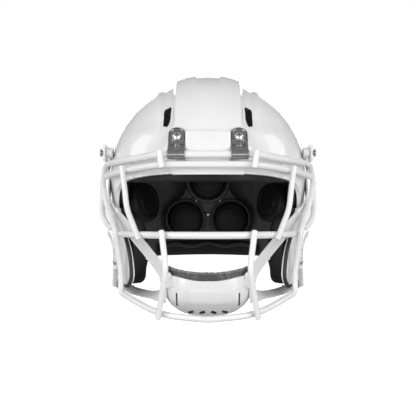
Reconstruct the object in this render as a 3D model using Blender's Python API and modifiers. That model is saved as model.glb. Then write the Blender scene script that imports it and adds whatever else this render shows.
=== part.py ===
# American football helmet, adult large: moulded shell, flip-up facemask, padded liner and chin strap.
# Metres, +Z up. The origin is the middle of the wearer's head at eye level, between the ears.
# The face looks along -Y and the wearer's left is +X.

import math

import bmesh
import bpy
from mathutils import Matrix, Vector

GAP = 0.0003                                   # between neighbours that touch

# Shell: an ellipsoid above its equator, near-upright walls below it
CENTRE_Y = 0.0075
EQUATOR = 0.035
HALF_WIDTH = 0.1245
HALF_LENGTH = 0.1475
RISE = 0.1365
WALL = 0.004
SHELL_TURNS = 36
# half-width of each moulding line from the crown outward, with its depth below the ellipsoid
MOULDING = ((0, 0.002), (0.013, 0.002), (0.016, 0), (0.038, 0), (0.044, 0.006), (0.056, 0.006),
            (0.062, 0.003), (0.0767, 0.003), (0.0896, 0.0022), (0.102, 0.0012), (0.1119, 0.0004),
            (0.1191, 0), (0.1233, 0), (HALF_WIDTH, 0))
BROW_NARROWING = 0.08                          # the centre panel is this much narrower at the brow
# height, side factor and back factor of the wall's sections
WALL_LEVELS = ((EQUATOR, 1, 1), (0.012, 0.99, 0.985), (-0.012, 0.965, 0.955), (-0.036, 0.925, 0.905),
               (-0.062, 0.918, 0.85), (-0.1, 0.915, 0.78))
# shell edge seen from the side, as (y, z), brow to nape
FACE_EDGE = ((-0.145, 0.0368), (-0.12, 0.035), (-0.095, 0.0318), (-0.078, 0.028), (-0.064, 0.018),
             (-0.057, 0.002), (-0.06, -0.014), (-0.071, -0.031), (-0.08, -0.048), (-0.085, -0.066))
CHIN_CORNER = ((-0.085, -0.08), (-0.077, -0.0895))
BOTTOM_EDGE = ((-0.03, -0.0905), (0.0, -0.083), (0.03, -0.0725), (0.07, -0.0705))
EAR_HOLE = (0.008, -0.008)
EAR_RADIUS = 0.016
VENT = ((0.049, 0.109), (0.0412, 0.113), (0.0414, 0.096), (0.0437, 0.0885), (0.049, 0.09))

# Facemask
HORIZONTAL_WIRE = 0.0037
UPRIGHT_WIRE = 0.00305
HINGE_Y = -0.15
HINGE_Z = 0.0548

# Front clips
CLIP_X = 0.0325
CLIP_WIDTH = 0.0176
CLIP_PLATE = 0.0013
CLIP_BORE = 0.0041
SCREW_Z = 0.0748

# Side clips
SIDE_CLIP_Y = -0.0435
SIDE_CLIP_Z = 0.067
SIDE_CLIP_FACE = 0.1231                        # outer end of the boss on the shell
BUTTON_TRAVEL = 0.0025

# Chin strap
STRAP_WIDTH = 0.016
STRAP_THICKNESS = 0.0016
CUP_CENTRE = Vector((0, -0.084, -0.0795))
CUP_RADII = (0.0515, 0.0475, 0.0415)
CUP_FULLNESS = 2.5                             # 2 is an ellipsoid, more is boxier
CUP_WALL = 0.003
CUP_TOP = -0.0765
BUCKLE_SIZE = (0.0045, 0.022, 0.02)

SIDES = (("left", 1), ("right", -1))

for old in list(bpy.data.objects):
    bpy.data.objects.remove(old, do_unlink=True)

parts = bpy.data.collections.new("american_football_helmet")
cutters = bpy.data.collections.new("cutters")
bpy.context.scene.collection.children.link(parts)
bpy.context.scene.collection.children.link(cutters)


# ---------------------------------------------------------------- materials

def material(name, colour, roughness, metallic=0.0):
    made = bpy.data.materials.new(name)
    made.use_nodes = True
    shader = made.node_tree.nodes["Principled BSDF"]
    shader.inputs["Base Color"].default_value = (*colour, 1)
    shader.inputs["Roughness"].default_value = roughness
    shader.inputs["Metallic"].default_value = metallic
    return made


FINISHES = {
    "shell_white": ((0.86, 0.86, 0.86), 0.12, 0),
    "mask_white": ((0.84, 0.84, 0.84), 0.3, 0),
    "strap_white": ((0.8, 0.8, 0.8), 0.55, 0),
    "cup_white": ((0.85, 0.85, 0.85), 0.25, 0),
    "trim_black": ((0.02, 0.02, 0.02), 0.6, 0),
    "liner_black": ((0.025, 0.025, 0.027), 0.75, 0),
    "liner_frame": ((0.035, 0.035, 0.037), 0.45, 0),
    "pad_grey": ((0.16, 0.16, 0.16), 0.95, 0),
    "stainless": ((0.62, 0.62, 0.62), 0.28, 1),
    "chrome": ((0.8, 0.8, 0.8), 0.1, 1),
}


# ---------------------------------------------------------------- helpers

def smooth_step(low, high, value):
    share = min(1, max(0, (value - low) / (high - low)))
    return share * share * (3 - 2 * share)


def pivot(name, place):
    made = bpy.data.objects.new(name, None)
    made.location = place
    made.empty_display_size = 0.01
    parts.objects.link(made)
    return made


def finish(piece, finish_name, parent=None):
    """Give a piece its own material and hang it on its joint's pivot."""
    colour, roughness, metallic = FINISHES[finish_name]
    piece.data.materials.clear()
    piece.data.materials.append(material(piece.name + "_" + finish_name, colour, roughness, metallic))
    if parent:
        piece.parent = parent
        piece.location -= parent.location
    return piece


def mesh_piece(name, bm, collection=parts):
    mesh = bpy.data.meshes.new(name)
    bm.to_mesh(mesh)
    bm.free()
    made = bpy.data.objects.new(name, mesh)
    collection.objects.link(made)
    return made


def round_shading(piece):
    piece.data.shade_smooth()
    piece.data.set_sharp_from_angle(angle=math.radians(35))
    return piece


def as_mesh(curve_piece):
    """Turn a curve object into a welded mesh object of the same name and place."""
    name = curve_piece.name
    collection = curve_piece.users_collection[0]
    bpy.context.view_layer.update()
    view = bpy.context.evaluated_depsgraph_get()
    mesh = bpy.data.meshes.new_from_object(curve_piece.evaluated_get(view))
    place = curve_piece.matrix_world.copy()
    bpy.data.objects.remove(curve_piece, do_unlink=True)
    bm = bmesh.new()
    bm.from_mesh(mesh)
    bmesh.ops.remove_doubles(bm, verts=bm.verts, dist=0.000001)
    bmesh.ops.recalc_face_normals(bm, faces=bm.faces)
    bm.to_mesh(mesh)
    bm.free()
    made = bpy.data.objects.new(name, mesh)
    made.matrix_world = place
    collection.objects.link(made)
    return made


AXIS_FRAMES = {"X": Matrix(((0, 0, 1), (1, 0, 0), (0, 1, 0))), "Y": Matrix(((1, 0, 0), (0, 0, -1), (0, 1, 0)))}


def prism(name, outline, axis, low, high, collection=parts):
    """A flat outline given thickness along an axis: (y, z) points for X, (x, z) points for Y."""
    curve = bpy.data.curves.new(name, "CURVE")
    curve.dimensions = "2D"
    curve.fill_mode = "BOTH"
    curve.extrude = (high - low) / 2
    spline = curve.splines.new("POLY")
    spline.points.add(len(outline) - 1)
    spline.use_cyclic_u = True
    for point, (across, up) in zip(spline.points, outline):
        point.co = (across, up, 0, 1)
    piece = bpy.data.objects.new(name, curve)
    middle = (low + high) / 2
    offset = Vector((middle, 0, 0)) if axis == "X" else Vector((0, middle, 0))
    piece.matrix_world = Matrix.Translation(offset) @ AXIS_FRAMES[axis].to_4x4()
    collection.objects.link(piece)
    return as_mesh(piece)


def turned(name, profile, place, facing, steps=16, collection=parts, closed=False):
    """A profile of (radius, height) points, outer side top to bottom, turned about the facing axis."""
    mesh = bpy.data.meshes.new(name)
    edges = [(i, i + 1) for i in range(len(profile) - 1)]
    if closed:
        edges.append((len(profile) - 1, 0))
    mesh.from_pydata([(radius, 0, height) for radius, height in profile], edges, [])
    piece = bpy.data.objects.new(name, mesh)
    piece.location = place
    piece.rotation_euler = Vector((0, 0, 1)).rotation_difference(Vector(facing)).to_euler()
    collection.objects.link(piece)
    screw = piece.modifiers.new("turn", "SCREW")
    screw.steps = steps
    screw.render_steps = steps
    screw.use_merge_vertices = True
    screw.merge_threshold = 0.00001
    return piece


def cut(piece, *tools, operation="DIFFERENCE"):
    for tool in tools:
        tool.hide_render = True
        tool.display_type = "WIRE"
        modifier = piece.modifiers.new("cut_" + tool.name, "BOOLEAN")
        modifier.object = tool
        modifier.operation = operation
        modifier.solver = "EXACT"
    return piece


def solidify(piece, thickness, offset):
    modifier = piece.modifiers.new("thickness", "SOLIDIFY")
    modifier.thickness = thickness
    modifier.offset = offset
    return piece


def bevelled(piece, width, segments=2):
    modifier = piece.modifiers.new("rounded", "BEVEL")
    modifier.width = width
    modifier.segments = segments
    modifier.limit_method = "ANGLE"
    return piece


def bent(corners, reach, steps=3):
    """A route of straight runs with a rounded bend at each corner."""
    corners = [Vector(corner) for corner in corners]
    route = [corners[0]]
    for before, corner, after in zip(corners, corners[1:], corners[2:]):
        trim = min(reach, (corner - before).length * 0.48, (after - corner).length * 0.48)
        start = corner + (before - corner).normalized() * trim
        end = corner + (after - corner).normalized() * trim
        for step in range(steps + 1):
            t = step / steps
            route.append(start * (1 - t) ** 2 + corner * 2 * t * (1 - t) + end * t ** 2)
    route.append(corners[-1])
    return route


def wire(name, route, radius):
    curve = bpy.data.curves.new(name, "CURVE")
    curve.dimensions = "3D"
    curve.bevel_depth = radius
    curve.bevel_resolution = 2
    curve.use_fill_caps = True
    spline = curve.splines.new("POLY")
    spline.points.add(len(route) - 1)
    for point, place in zip(spline.points, route):
        point.co = (*place, 1)
    piece = bpy.data.objects.new(name, curve)
    parts.objects.link(piece)
    return piece


def mirrored(points, side):
    """Points given for the wearer's left, on the side asked for."""
    return [Vector((x * side, y, z)) for x, y, z in points]


def both_halves(left_half):
    """A left half that starts on the centre plane, continued to the right."""
    left = [Vector(point) for point in left_half]
    return [Vector((-p.x, p.y, p.z)) for p in reversed(left[1:])] + left


# ---------------------------------------------------------------- the shell's surface

def wall_factors(z):
    """How far the section at a height is drawn in at the sides and at the back."""
    for (top, side_top, back_top), (low, side_low, back_low) in zip(WALL_LEVELS, WALL_LEVELS[1:]):
        if z >= low:
            share = max(0, (top - z) / (top - low))
            return side_top + (side_low - side_top) * share, back_top + (back_low - back_top) * share
    return WALL_LEVELS[-1][1:]


def section(y_is_behind, z, outset):
    """Half-width and half-length of the shell's section at a height, grown by outset."""
    side, back = wall_factors(z)
    k = math.sqrt(max(0, 1 - (max(0, z - EQUATOR) / (RISE + outset)) ** 2))
    return (HALF_WIDTH * side + outset) * k, (HALF_LENGTH * (back if y_is_behind else 1) + outset) * k


def wall_point(azimuth, z, outset):
    """Point on the shell's surface: azimuth in degrees from the brow, 90 at the wearer's left."""
    angle = math.radians(azimuth)
    half_width, half_length = section(math.cos(angle) < 0, z, outset)
    return Vector((half_width * math.sin(angle), CENTRE_Y - half_length * math.cos(angle), z))


def side_x(y, z, outset):
    half_width, half_length = section(y > CENTRE_Y, z, outset)
    return half_width * math.sqrt(max(0, 1 - ((y - CENTRE_Y) / half_length) ** 2))


def crown_point(x, y, outset):
    inside = 1 - (x / (HALF_WIDTH + outset)) ** 2 - ((y - CENTRE_Y) / (HALF_LENGTH + outset)) ** 2
    return Vector((x, y, EQUATOR + (RISE + outset) * math.sqrt(inside)))


def patch(name, place, across, along, thickness, roundness=0.25, cells=(6, 5)):
    """A grid laid on the shell by place(u, v), u and v from -1 to 1, given an inward thickness."""
    bm = bmesh.new()
    bmesh.ops.create_grid(bm, x_segments=cells[0], y_segments=cells[1], size=1)
    for vert in bm.verts:
        u, v = vert.co.x, vert.co.y
        round_u = u * math.sqrt(1 - roundness * v * v)
        round_v = v * math.sqrt(1 - roundness * u * u)
        vert.co = place(round_u * across, round_v * along)
    bm.normal_update()
    middle = Vector((0, CENTRE_Y, EQUATOR))
    if sum((face.normal.dot(face.calc_center_median() - middle) for face in bm.faces)) < 0:
        bmesh.ops.reverse_faces(bm, faces=bm.faces)
    return solidify(mesh_piece(name, bm), thickness, -1)


# ---------------------------------------------------------------- shell and what is fixed to it

def shell():
    bm = bmesh.new()
    rings = len(MOULDING) - 1
    bmesh.ops.create_uvsphere(bm, u_segments=SHELL_TURNS, v_segments=2 * rings, radius=1,
                              matrix=Matrix.Rotation(math.pi / 2, 4, "Y"))
    bmesh.ops.delete(bm, geom=[v for v in bm.verts if v.co.z < -0.001], context="VERTS")
    for vert in bm.verts:
        latitude = math.asin(max(-1, min(1, vert.co.x)))
        ring_x, depth = MOULDING[round(abs(latitude) / (math.pi / 2) * rings)]
        turn = math.atan2(max(0, vert.co.z), -vert.co.y)
        narrow = BROW_NARROWING * max(0, math.cos(turn)) ** 2 * (1 - smooth_step(0.062, 0.11, ring_x))
        x = math.copysign(ring_x * (1 - narrow), vert.co.x)
        k = math.sqrt(max(0, 1 - (x / HALF_WIDTH) ** 2))
        y = -HALF_LENGTH * k * math.cos(turn)
        z = RISE * k * math.sin(turn)
        normal = Vector((x / HALF_WIDTH ** 2, y / HALF_LENGTH ** 2, z / RISE ** 2)).normalized()
        fade = smooth_step(0.043, 0.065, z) if y < 0 else smooth_step(0.01, 0.04, z)
        if ring_x < 0.016:
            fade = smooth_step(0.1, 0.13, z)
        vert.co = Vector((x, y + CENTRE_Y, z + EQUATOR)) - normal * depth * fade
    rim = [edge for edge in bm.edges if edge.is_boundary]
    for (_, side_before, back_before), (level, side, back) in zip(WALL_LEVELS, WALL_LEVELS[1:]):
        grown = bmesh.ops.extrude_edge_only(bm, edges=rim)["geom"]
        new_verts = {item for item in grown if isinstance(item, bmesh.types.BMVert)}
        rim = [edge for edge in bm.edges if set(edge.verts) <= new_verts]
        for vert in new_verts:
            vert.co.x *= side / side_before
            if vert.co.y > CENTRE_Y:
                vert.co.y = CENTRE_Y + (vert.co.y - CENTRE_Y) * back / back_before
            vert.co.z = level
    bmesh.ops.recalc_face_normals(bm, faces=bm.faces)
    bm.normal_update()
    if max(bm.faces, key=lambda face: face.calc_center_median().z).normal.z < 0:
        bmesh.ops.reverse_faces(bm, faces=bm.faces)
    piece = solidify(mesh_piece("shell", bm), WALL, -1)

    outline = [(-0.25, FACE_EDGE[0][1]), *FACE_EDGE, *CHIN_CORNER, *BOTTOM_EDGE,
               (0.25, BOTTOM_EDGE[-1][1]), (0.25, -0.2), (-0.25, -0.2)]
    tools = [prism("face_opening", outline, "X", -0.2, 0.2, cutters)]
    ears = turned("ear_holes", ((0, 0.2), (EAR_RADIUS, 0.2), (EAR_RADIUS, -0.2), (0, -0.2)),
                  (0, *EAR_HOLE), (1, 0, 0), 24, cutters)
    tools.append(ears)
    for side_name, side in SIDES:
        vent = [(x * side, z) for x, z in VENT]
        tools.append(prism("vent_" + side_name, vent, "Y", -0.2, 0.2, cutters))
    cut(piece, *tools)
    return finish(round_shading(piece), "shell_white")


def ellipsoid_cutter(name, outset, scale_from=CENTRE_Y):
    bm = bmesh.new()
    bmesh.ops.create_uvsphere(bm, u_segments=48, v_segments=24, radius=1)
    size = Vector((HALF_WIDTH + outset, HALF_LENGTH + outset, RISE + outset))
    bmesh.ops.scale(bm, vec=size, verts=bm.verts)
    bmesh.ops.translate(bm, vec=(0, scale_from, EQUATOR), verts=bm.verts)
    return mesh_piece(name, bm, cutters)


BUMPER_FRONT = -0.1455


def bumpers():
    outline = [(-0.038, 0.0345), (0.038, 0.0345), (0.038, 0.0425), (0.0233, 0.0465), (0.0233, 0.0795),
               (-0.0233, 0.0795), (-0.0233, 0.0465), (-0.038, 0.0425)]
    front = prism("front_bumper", outline, "Y", BUMPER_FRONT, -0.12)
    bevelled(front, 0.0012)
    cut(front, ellipsoid_cutter("bumper_seat", GAP * 4))
    finish(round_shading(front), "shell_white")

    def place(u, v):
        return wall_point(180 + u, -0.052 + v, 0.0032)
    rear = patch("rear_bumper", place, 24, 0.014, 0.0026, 0.2, (8, 3))
    finish(rear, "shell_white")


def edge_trims():
    """Rubber bead along each jaw flap's front edge and round its lower corner."""
    ahead = 0.0034
    trim_route = [(-0.071, -0.031), (-0.08, -0.048), (-0.085, -0.066), (-0.085, -0.08), (-0.077, -0.0895),
                  (-0.062, -0.0902)]
    for side_name, side in SIDES:
        points = []
        for index, (y, z) in enumerate(trim_route):
            before = Vector(trim_route[max(0, index - 1)])
            after = Vector(trim_route[min(len(trim_route) - 1, index + 1)])
            along = (after - before).normalized()
            out = Vector((along.y, -along.x)) * ahead
            edge_y, edge_z = y + out.x, z + out.y
            points.append((side_x(y, z, -WALL / 2) * side, edge_y, edge_z))
        finish(wire("edge_trim_" + side_name, bent(points, 0.006, 2), 0.0021), "trim_black")


def clip_profile():
    """Side view of a front clip: a strap from its screw down over the brow bar and round behind it."""
    outer = CLIP_BORE + CLIP_PLATE
    around = []
    for turn in range(70, -131, -20):
        angle = math.radians(180 - turn)
        around.append((angle, turn))
    ring = [(HINGE_Y + outer * math.cos(a), HINGE_Z + outer * math.sin(a)) for a, _ in around]
    hole = [(HINGE_Y + CLIP_BORE * math.cos(a), HINGE_Z + CLIP_BORE * math.sin(a)) for a, _ in reversed(around)]
    top_front = [(-0.1292, 0.0835), (-0.1405, 0.0665)]
    top_back = [(-0.1393, 0.066), (-0.1277, 0.083)]
    return top_front + ring + hole + top_back


def front_clips():
    for side_name, side in SIDES:
        low, high = sorted(((CLIP_X - CLIP_WIDTH / 2) * side, (CLIP_X + CLIP_WIDTH / 2) * side))
        clip = prism("front_clip_" + side_name, clip_profile(), "X", low, high)
        finish(round_shading(clip), "stainless")
        slope = Vector((0, -0.83, 0.55))
        place = Vector((CLIP_X * side, -0.1352, SCREW_Z)) + slope * 0.0007
        profile = ((0, 0.0026), (0.0028, 0.0022), (0.0044, 0.0009), (0.0046, 0), (0, 0))
        screw = turned("front_screw_" + side_name, profile, place, slope, 20)
        finish(round_shading(screw), "chrome")


# ---------------------------------------------------------------- facemask

def facemask():
    hinge = pivot("facemask_hinge", (0, HINGE_Y, HINGE_Z))

    def bar(name, route, radius):
        finish(wire(name, route, radius), "mask_white", hinge)

    upper = both_halves([(0, HINGE_Y, HINGE_Z), (0.0415, HINGE_Y, HINGE_Z), (0.054, HINGE_Y, 0.0542),
                         (0.0705, -0.1285, 0.0535), (0.0875, -0.1065, 0.0531), (0.1005, -0.0865, 0.053),
                         (0.1155, -0.0595, 0.053)])
    bar("brow_bar_upper", bent(upper, 0.012), HORIZONTAL_WIRE)
    lower = both_halves([(0, -0.152, 0.0443), (0.0415, -0.152, 0.0441), (0.054, -0.1515, 0.0434),
                         (0.0705, -0.1315, 0.0427), (0.0885, -0.1085, 0.0417), (0.1008, -0.0915, 0.0405),
                         (0.1152, -0.067, 0.0389), (0.1235, -0.0535, 0.0374)])
    bar("brow_bar_lower", bent(lower, 0.012), HORIZONTAL_WIRE)

    mid = []
    for step in range(-8, 9):
        turn = math.radians(step * 73 / 8)
        mid.append((0.103 * math.sin(turn), -0.05 - 0.118 * math.cos(turn), -0.027 - 0.002 * math.sin(turn) ** 2))
    bar("mid_bar", mid, HORIZONTAL_WIRE)

    jaw = both_halves([(0, -0.165, -0.1107), (0.0384, -0.155, -0.109), (0.0607, -0.135, -0.1062),
                       (0.0798, -0.112, -0.1011), (0.0885, -0.1, -0.0989), (0.0998, -0.084, -0.097),
                       (0.0988, -0.083, -0.0777), (0.1012, -0.0845, -0.0605), (0.1029, -0.0875, -0.0443),
                       (0.1043, -0.0913, -0.0275), (0.1109, -0.078, -0.0115), (0.1193, -0.064, 0.0047),
                       (0.1249, -0.053, 0.0216), (0.127, -0.0478, 0.0305)])
    bar("jaw_bar", bent(jaw, 0.009, 2), UPRIGHT_WIRE + 0.0003)

    for side_name, side in SIDES:
        loop = [(0.1193, -0.0525, 0.0532), (0.1262, -0.0385, 0.0498), (0.1296, -0.032, 0.036),
                (0.1299, -0.034, 0.012), (0.129, -0.041, -0.006), (0.122, -0.052, -0.0185),
                (0.1145, -0.0635, -0.0235)]
        bar("side_loop_" + side_name, bent(mirrored(loop, side), 0.01, 3), UPRIGHT_WIRE)
        eye = [(0.0935, -0.1145, 0.0445), (0.0894, -0.1195, 0.0194), (0.0867, -0.1245, -0.0006),
               (0.0714, -0.1452, -0.0315)]
        bar("eye_bar_" + side_name, bent(mirrored(eye, side), 0.012, 3), UPRIGHT_WIRE)
        chin = [(0.0463, -0.164, -0.0235), (0.0408, -0.175, -0.0596), (0.0505, -0.1555, -0.111)]
        bar("chin_bar_" + side_name, bent(mirrored(chin, side), 0.012, 4), UPRIGHT_WIRE)
        stub = [(0.0492, -0.1585, 0.0568), (0.0466, -0.1595, 0.0412)]
        bar("brow_stub_" + side_name, mirrored(stub, side), UPRIGHT_WIRE)
        prong = [(0.1065, -0.0775, -0.068), (0.1095, -0.062, -0.08), (0.1125, -0.048, -0.0925)]
        bar("jaw_prong_" + side_name, bent(mirrored(prong, side), 0.01, 3), UPRIGHT_WIRE)
    return hinge


def side_clips(hinge):
    """Boss and sprung button on the shell, and the clip plate that leaves with the facemask."""
    for side_name, side in SIDES:
        seat = side_x(SIDE_CLIP_Y, SIDE_CLIP_Z, 0) + 0.0022
        depth = SIDE_CLIP_FACE - seat
        bore = 0.0028
        profile = ((bore, depth), (0.0062, depth), (0.0062, 0), (bore, 0))
        place = (seat * side, SIDE_CLIP_Y, SIDE_CLIP_Z)
        boss = turned("side_boss_" + side_name, profile, place, (side, 0, 0), 20, closed=True)
        finish(round_shading(boss), "mask_white")
        spring_pivot = pivot("release_slide_" + side_name, place)
        stem = bore - GAP
        cap = 0.0046
        plate_out = SIDE_CLIP_FACE + 0.0026 - seat
        profile = ((0, plate_out + 0.005), (cap - 0.0008, plate_out + 0.005), (cap, plate_out + 0.0042),
                   (cap, plate_out + 0.003), (stem, plate_out + 0.003), (stem, 0.0028), (0, 0.0028))
        button = turned("release_button_" + side_name, profile, place, (side, 0, 0), 20)
        finish(round_shading(button), "liner_frame", spring_pivot)

        # the plate's slot is open at the top, so it leaves the boss downward
        low, high = sorted(((SIDE_CLIP_FACE + GAP) * side, (SIDE_CLIP_FACE + 0.0026) * side))
        y, z = SIDE_CLIP_Y, SIDE_CLIP_Z
        outline = [(y - 0.0085, z + 0.009), (y - 0.0045, z + 0.01), (y - 0.0042, z)]
        for turn in range(200, 341, 20):
            angle = math.radians(turn)
            outline.append((y + 0.0042 * math.cos(angle), z + 0.0042 * math.sin(angle)))
        outline += [(y + 0.0042, z), (y + 0.0052, z + 0.01), (y + 0.0095, z + 0.009), (y + 0.0095, z - 0.0075),
                    (y + 0.0055, z - 0.0105), (y - 0.0065, z - 0.0105), (y - 0.0085, z - 0.0075)]
        clip = prism("side_clip_" + side_name, outline, "X", low, high)
        finish(round_shading(clip), "mask_white", hinge)


# ---------------------------------------------------------------- liner

def liner():
    inner = -WALL - 0.001

    def brow(u, v):
        return wall_point(u, 0.0495 + v, inner - GAP)
    finish(patch("front_pad", brow, 52, 0.0215, 0.013, 0.1, (14, 3)), "liner_black")

    def crown(u, v):
        return crown_point(u, CENTRE_Y + 0.005 + v, inner - 0.003)
    finish(patch("crown_pad", crown, 0.036, 0.062, 0.016, 0.3, (6, 8)), "liner_black")

    def nape(u, v):
        return wall_point(180 + u, -0.0602 + v, inner)
    finish(patch("nape_pad", nape, 44, 0.0105, 0.012, 0.15, (12, 3)), "liner_black")

    back_plane = 0.11
    outline = []
    for turn in range(0, 360, 15):
        angle = math.radians(turn)
        reach = 0.053 + 0.012 * math.cos(3 * (angle - math.pi / 2))
        outline.append((reach * math.cos(angle), 0.003 + reach * math.sin(angle)))
    backing = prism("rear_backing", outline, "Y", back_plane, back_plane + 0.006)
    finish(backing, "liner_frame")
    for name, x, z, ring, cushion in (("top", 0, 0.0404, 0.0335, 0.0264), ("left", 0.0337, -0.016, 0.0305, 0.0254),
                                      ("right", -0.0337, -0.016, 0.0305, 0.0254)):
        rim = ((ring - 0.0015, 0.0075), (ring, 0.006), (ring, 0), (cushion + 0.0008, 0), (cushion + 0.0008, 0.006),
               (cushion + 0.002, 0.0075))
        place = (x, back_plane - GAP * 2, z)
        ring_piece = turned("rear_ring_" + name, rim, place, (0, -1, 0), 28, closed=True)
        finish(round_shading(ring_piece), "liner_frame")
        dome = ((0, 0.014), (cushion * 0.5, 0.0132), (cushion * 0.82, 0.0102), (cushion, 0.0045), (cushion, 0),
                (0, 0))
        finish(round_shading(turned("rear_pad_" + name, dome, place, (0, -1, 0), 24)), "liner_black")

    for side_name, side in SIDES:
        def side_wall(u, v):
            return wall_point((118 + u) * side, 0.008 + v, inner - 0.009)
        finish(patch("side_pad_" + side_name, side_wall, 17, 0.028, 0.017, 0.42, (6, 5)), "liner_black")

        def temple(u, v):
            return wall_point((73 + u) * side, 0.02 + v, inner)
        finish(patch("temple_pad_" + side_name, temple, 8.5, 0.02, 0.016, 0.2, (4, 4)), "liner_black")

        def jaw(u, v):
            return wall_point((68 + u) * side, -0.048 + v, inner - 0.0005)
        finish(patch("jaw_pad_" + side_name, jaw, 13, 0.0405, 0.019, 0.2, (5, 6)), "liner_black")


# ---------------------------------------------------------------- chin strap

def cup_shape(name, inset, thickness, top, back):
    """The front and underside of an ellipsoid, open above and behind, given an inward thickness."""
    bm = bmesh.new()
    bmesh.ops.create_uvsphere(bm, u_segments=24, v_segments=14, radius=1)
    for vert in bm.verts:
        vert.co /= sum(abs(part) ** CUP_FULLNESS for part in vert.co) ** (1 / CUP_FULLNESS)
    bmesh.ops.scale(bm, vec=[radius - inset for radius in CUP_RADII], verts=bm.verts)
    bmesh.ops.translate(bm, vec=CUP_CENTRE, verts=bm.verts)
    for point, normal in (((0, 0, top), (0, 0, 1)), ((0, back, 0), (0, 1, 0))):
        everything = bm.verts[:] + bm.edges[:] + bm.faces[:]
        bmesh.ops.bisect_plane(bm, geom=everything, plane_co=point, plane_no=normal, clear_outer=True)
    return solidify(mesh_piece(name, bm), thickness, -1)


def strap(name, stations):
    """A flat band: an edge across it, extruded from station to station of (centre, across)."""
    bm = bmesh.new()
    edge = None
    for centre, across in stations:
        half = Vector(across).normalized() * STRAP_WIDTH / 2
        if edge is None:
            ends = [bm.verts.new(Vector(centre) - half), bm.verts.new(Vector(centre) + half)]
            edge = bm.edges.new(ends)
            first, second = ends
            continue
        grown = bmesh.ops.extrude_edge_only(bm, edges=[edge])["geom"]
        fresh = [item for item in grown if isinstance(item, bmesh.types.BMVert)]
        near_first = [v for v in fresh if any(e.other_vert(v) is first for e in v.link_edges)][0]
        near_second = [v for v in fresh if v is not near_first][0]
        near_first.co = Vector(centre) - half
        near_second.co = Vector(centre) + half
        first, second = near_first, near_second
        edge = bm.edges.get((first, second))
    return solidify(mesh_piece(name, bm), STRAP_THICKNESS, 0)


UPPER_STRAP = (((0.0535, -0.11, -0.0645), (-0.32, -0.55, 0.72)), ((0.0691, -0.098, -0.0468), (-0.32, -0.55, 0.72)),
               ((0.0853, -0.0855, -0.0299), (-0.32, -0.55, 0.72)), ((0.099, -0.0745, -0.0145), (-0.25, -0.65, 0.68)),
               ((0.111, -0.064, -0.0015), (-0.1, -0.78, 0.6)), ((0.1194, -0.0445, 0.0125), (-0.05, -0.78, 0.6)),
               ((0.1226, -0.0255, 0.031), (0, -0.78, 0.6)), ((0.1262, -0.0145, 0.0445), (0, -0.78, 0.6)))
LOWER_STRAP = (((0.0586, -0.094, -0.0968), (-0.72, 0.62, 0.3)), ((0.07, -0.08, -0.0985), (-0.72, 0.62, 0.3)),
               ((0.086, -0.06, -0.0985), (-0.7, 0.66, 0.25)), ((0.098, -0.0455, -0.0965), (-0.55, 0.8, 0.1)),
               ((0.1078, -0.0385, -0.0966), (-0.4, 0.9, -0.1)), ((0.1135, -0.0345, -0.0885), (-0.15, 0.95, -0.25)),
               ((0.1142, -0.0305, -0.0785), (0, 0.95, -0.28)))
UPPER_BUCKLE = (-0.004, 0.059)
LOWER_BUCKLE = (-0.022, -0.0605)


def chin_strap():
    slide = pivot("chin_cup_slide", CUP_CENTRE)
    cup = cup_shape("chin_cup", 0, CUP_WALL, CUP_TOP, -0.088)
    finish(round_shading(cup), "cup_white", slide)
    pad = cup_shape("chin_pad", CUP_WALL + GAP * 2, 0.005, CUP_TOP + 0.0045, -0.084)
    finish(round_shading(pad), "pad_grey", slide)

    for side_name, side in SIDES:
        for name, stations in (("upper_strap_", UPPER_STRAP), ("lower_strap_", LOWER_STRAP)):
            route = [((c[0] * side, c[1], c[2]), (a[0] * side, a[1], a[2])) for c, a in stations]
            finish(strap(name + side_name, route), "strap_white")
        for level, (y, z) in (("upper", UPPER_BUCKLE), ("lower", LOWER_BUCKLE)):
            surface = side_x(y, z, 0)
            lean = Vector((side, (surface - side_x(y + 0.01, z, 0)) / 0.01,
                           (surface - side_x(y, z + 0.01, 0)) / 0.01)).normalized()
            foot = Vector((surface * side, y, z))
            profile = ((0, 0.0034), (0.004, 0.0034), (0.0048, 0.001), (0.0048, 0.0006), (0, 0.0006))
            stud = turned(level + "_stud_" + side_name, profile, foot, lean, 16)
            finish(round_shading(stud), "chrome")
            release = pivot(level + "_buckle_slide_" + side_name, foot)
            bm = bmesh.new()
            bmesh.ops.create_cube(bm, size=1, matrix=Matrix.Diagonal((*BUCKLE_SIZE, 1)))
            bmesh.ops.bevel(bm, geom=bm.edges[:], offset=0.0012, segments=2, profile=0.5, affect="EDGES", material=-1)
            buckle = mesh_piece(level + "_buckle_" + side_name, bm)
            turn = Vector((side, 0, 0)).rotation_difference(lean)
            buckle.rotation_euler = turn.to_euler()
            buckle.location = foot + lean * (0.0034 + GAP * 2 + BUCKLE_SIZE[0] / 2)
            finish(buckle, "cup_white", release)


shell()
bumpers()
edge_trims()
front_clips()
mask_hinge = facemask()
side_clips(mask_hinge)
liner()
chin_strap()
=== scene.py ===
import math

import bmesh
import bpy
from mathutils import Matrix, Vector, noise


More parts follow.
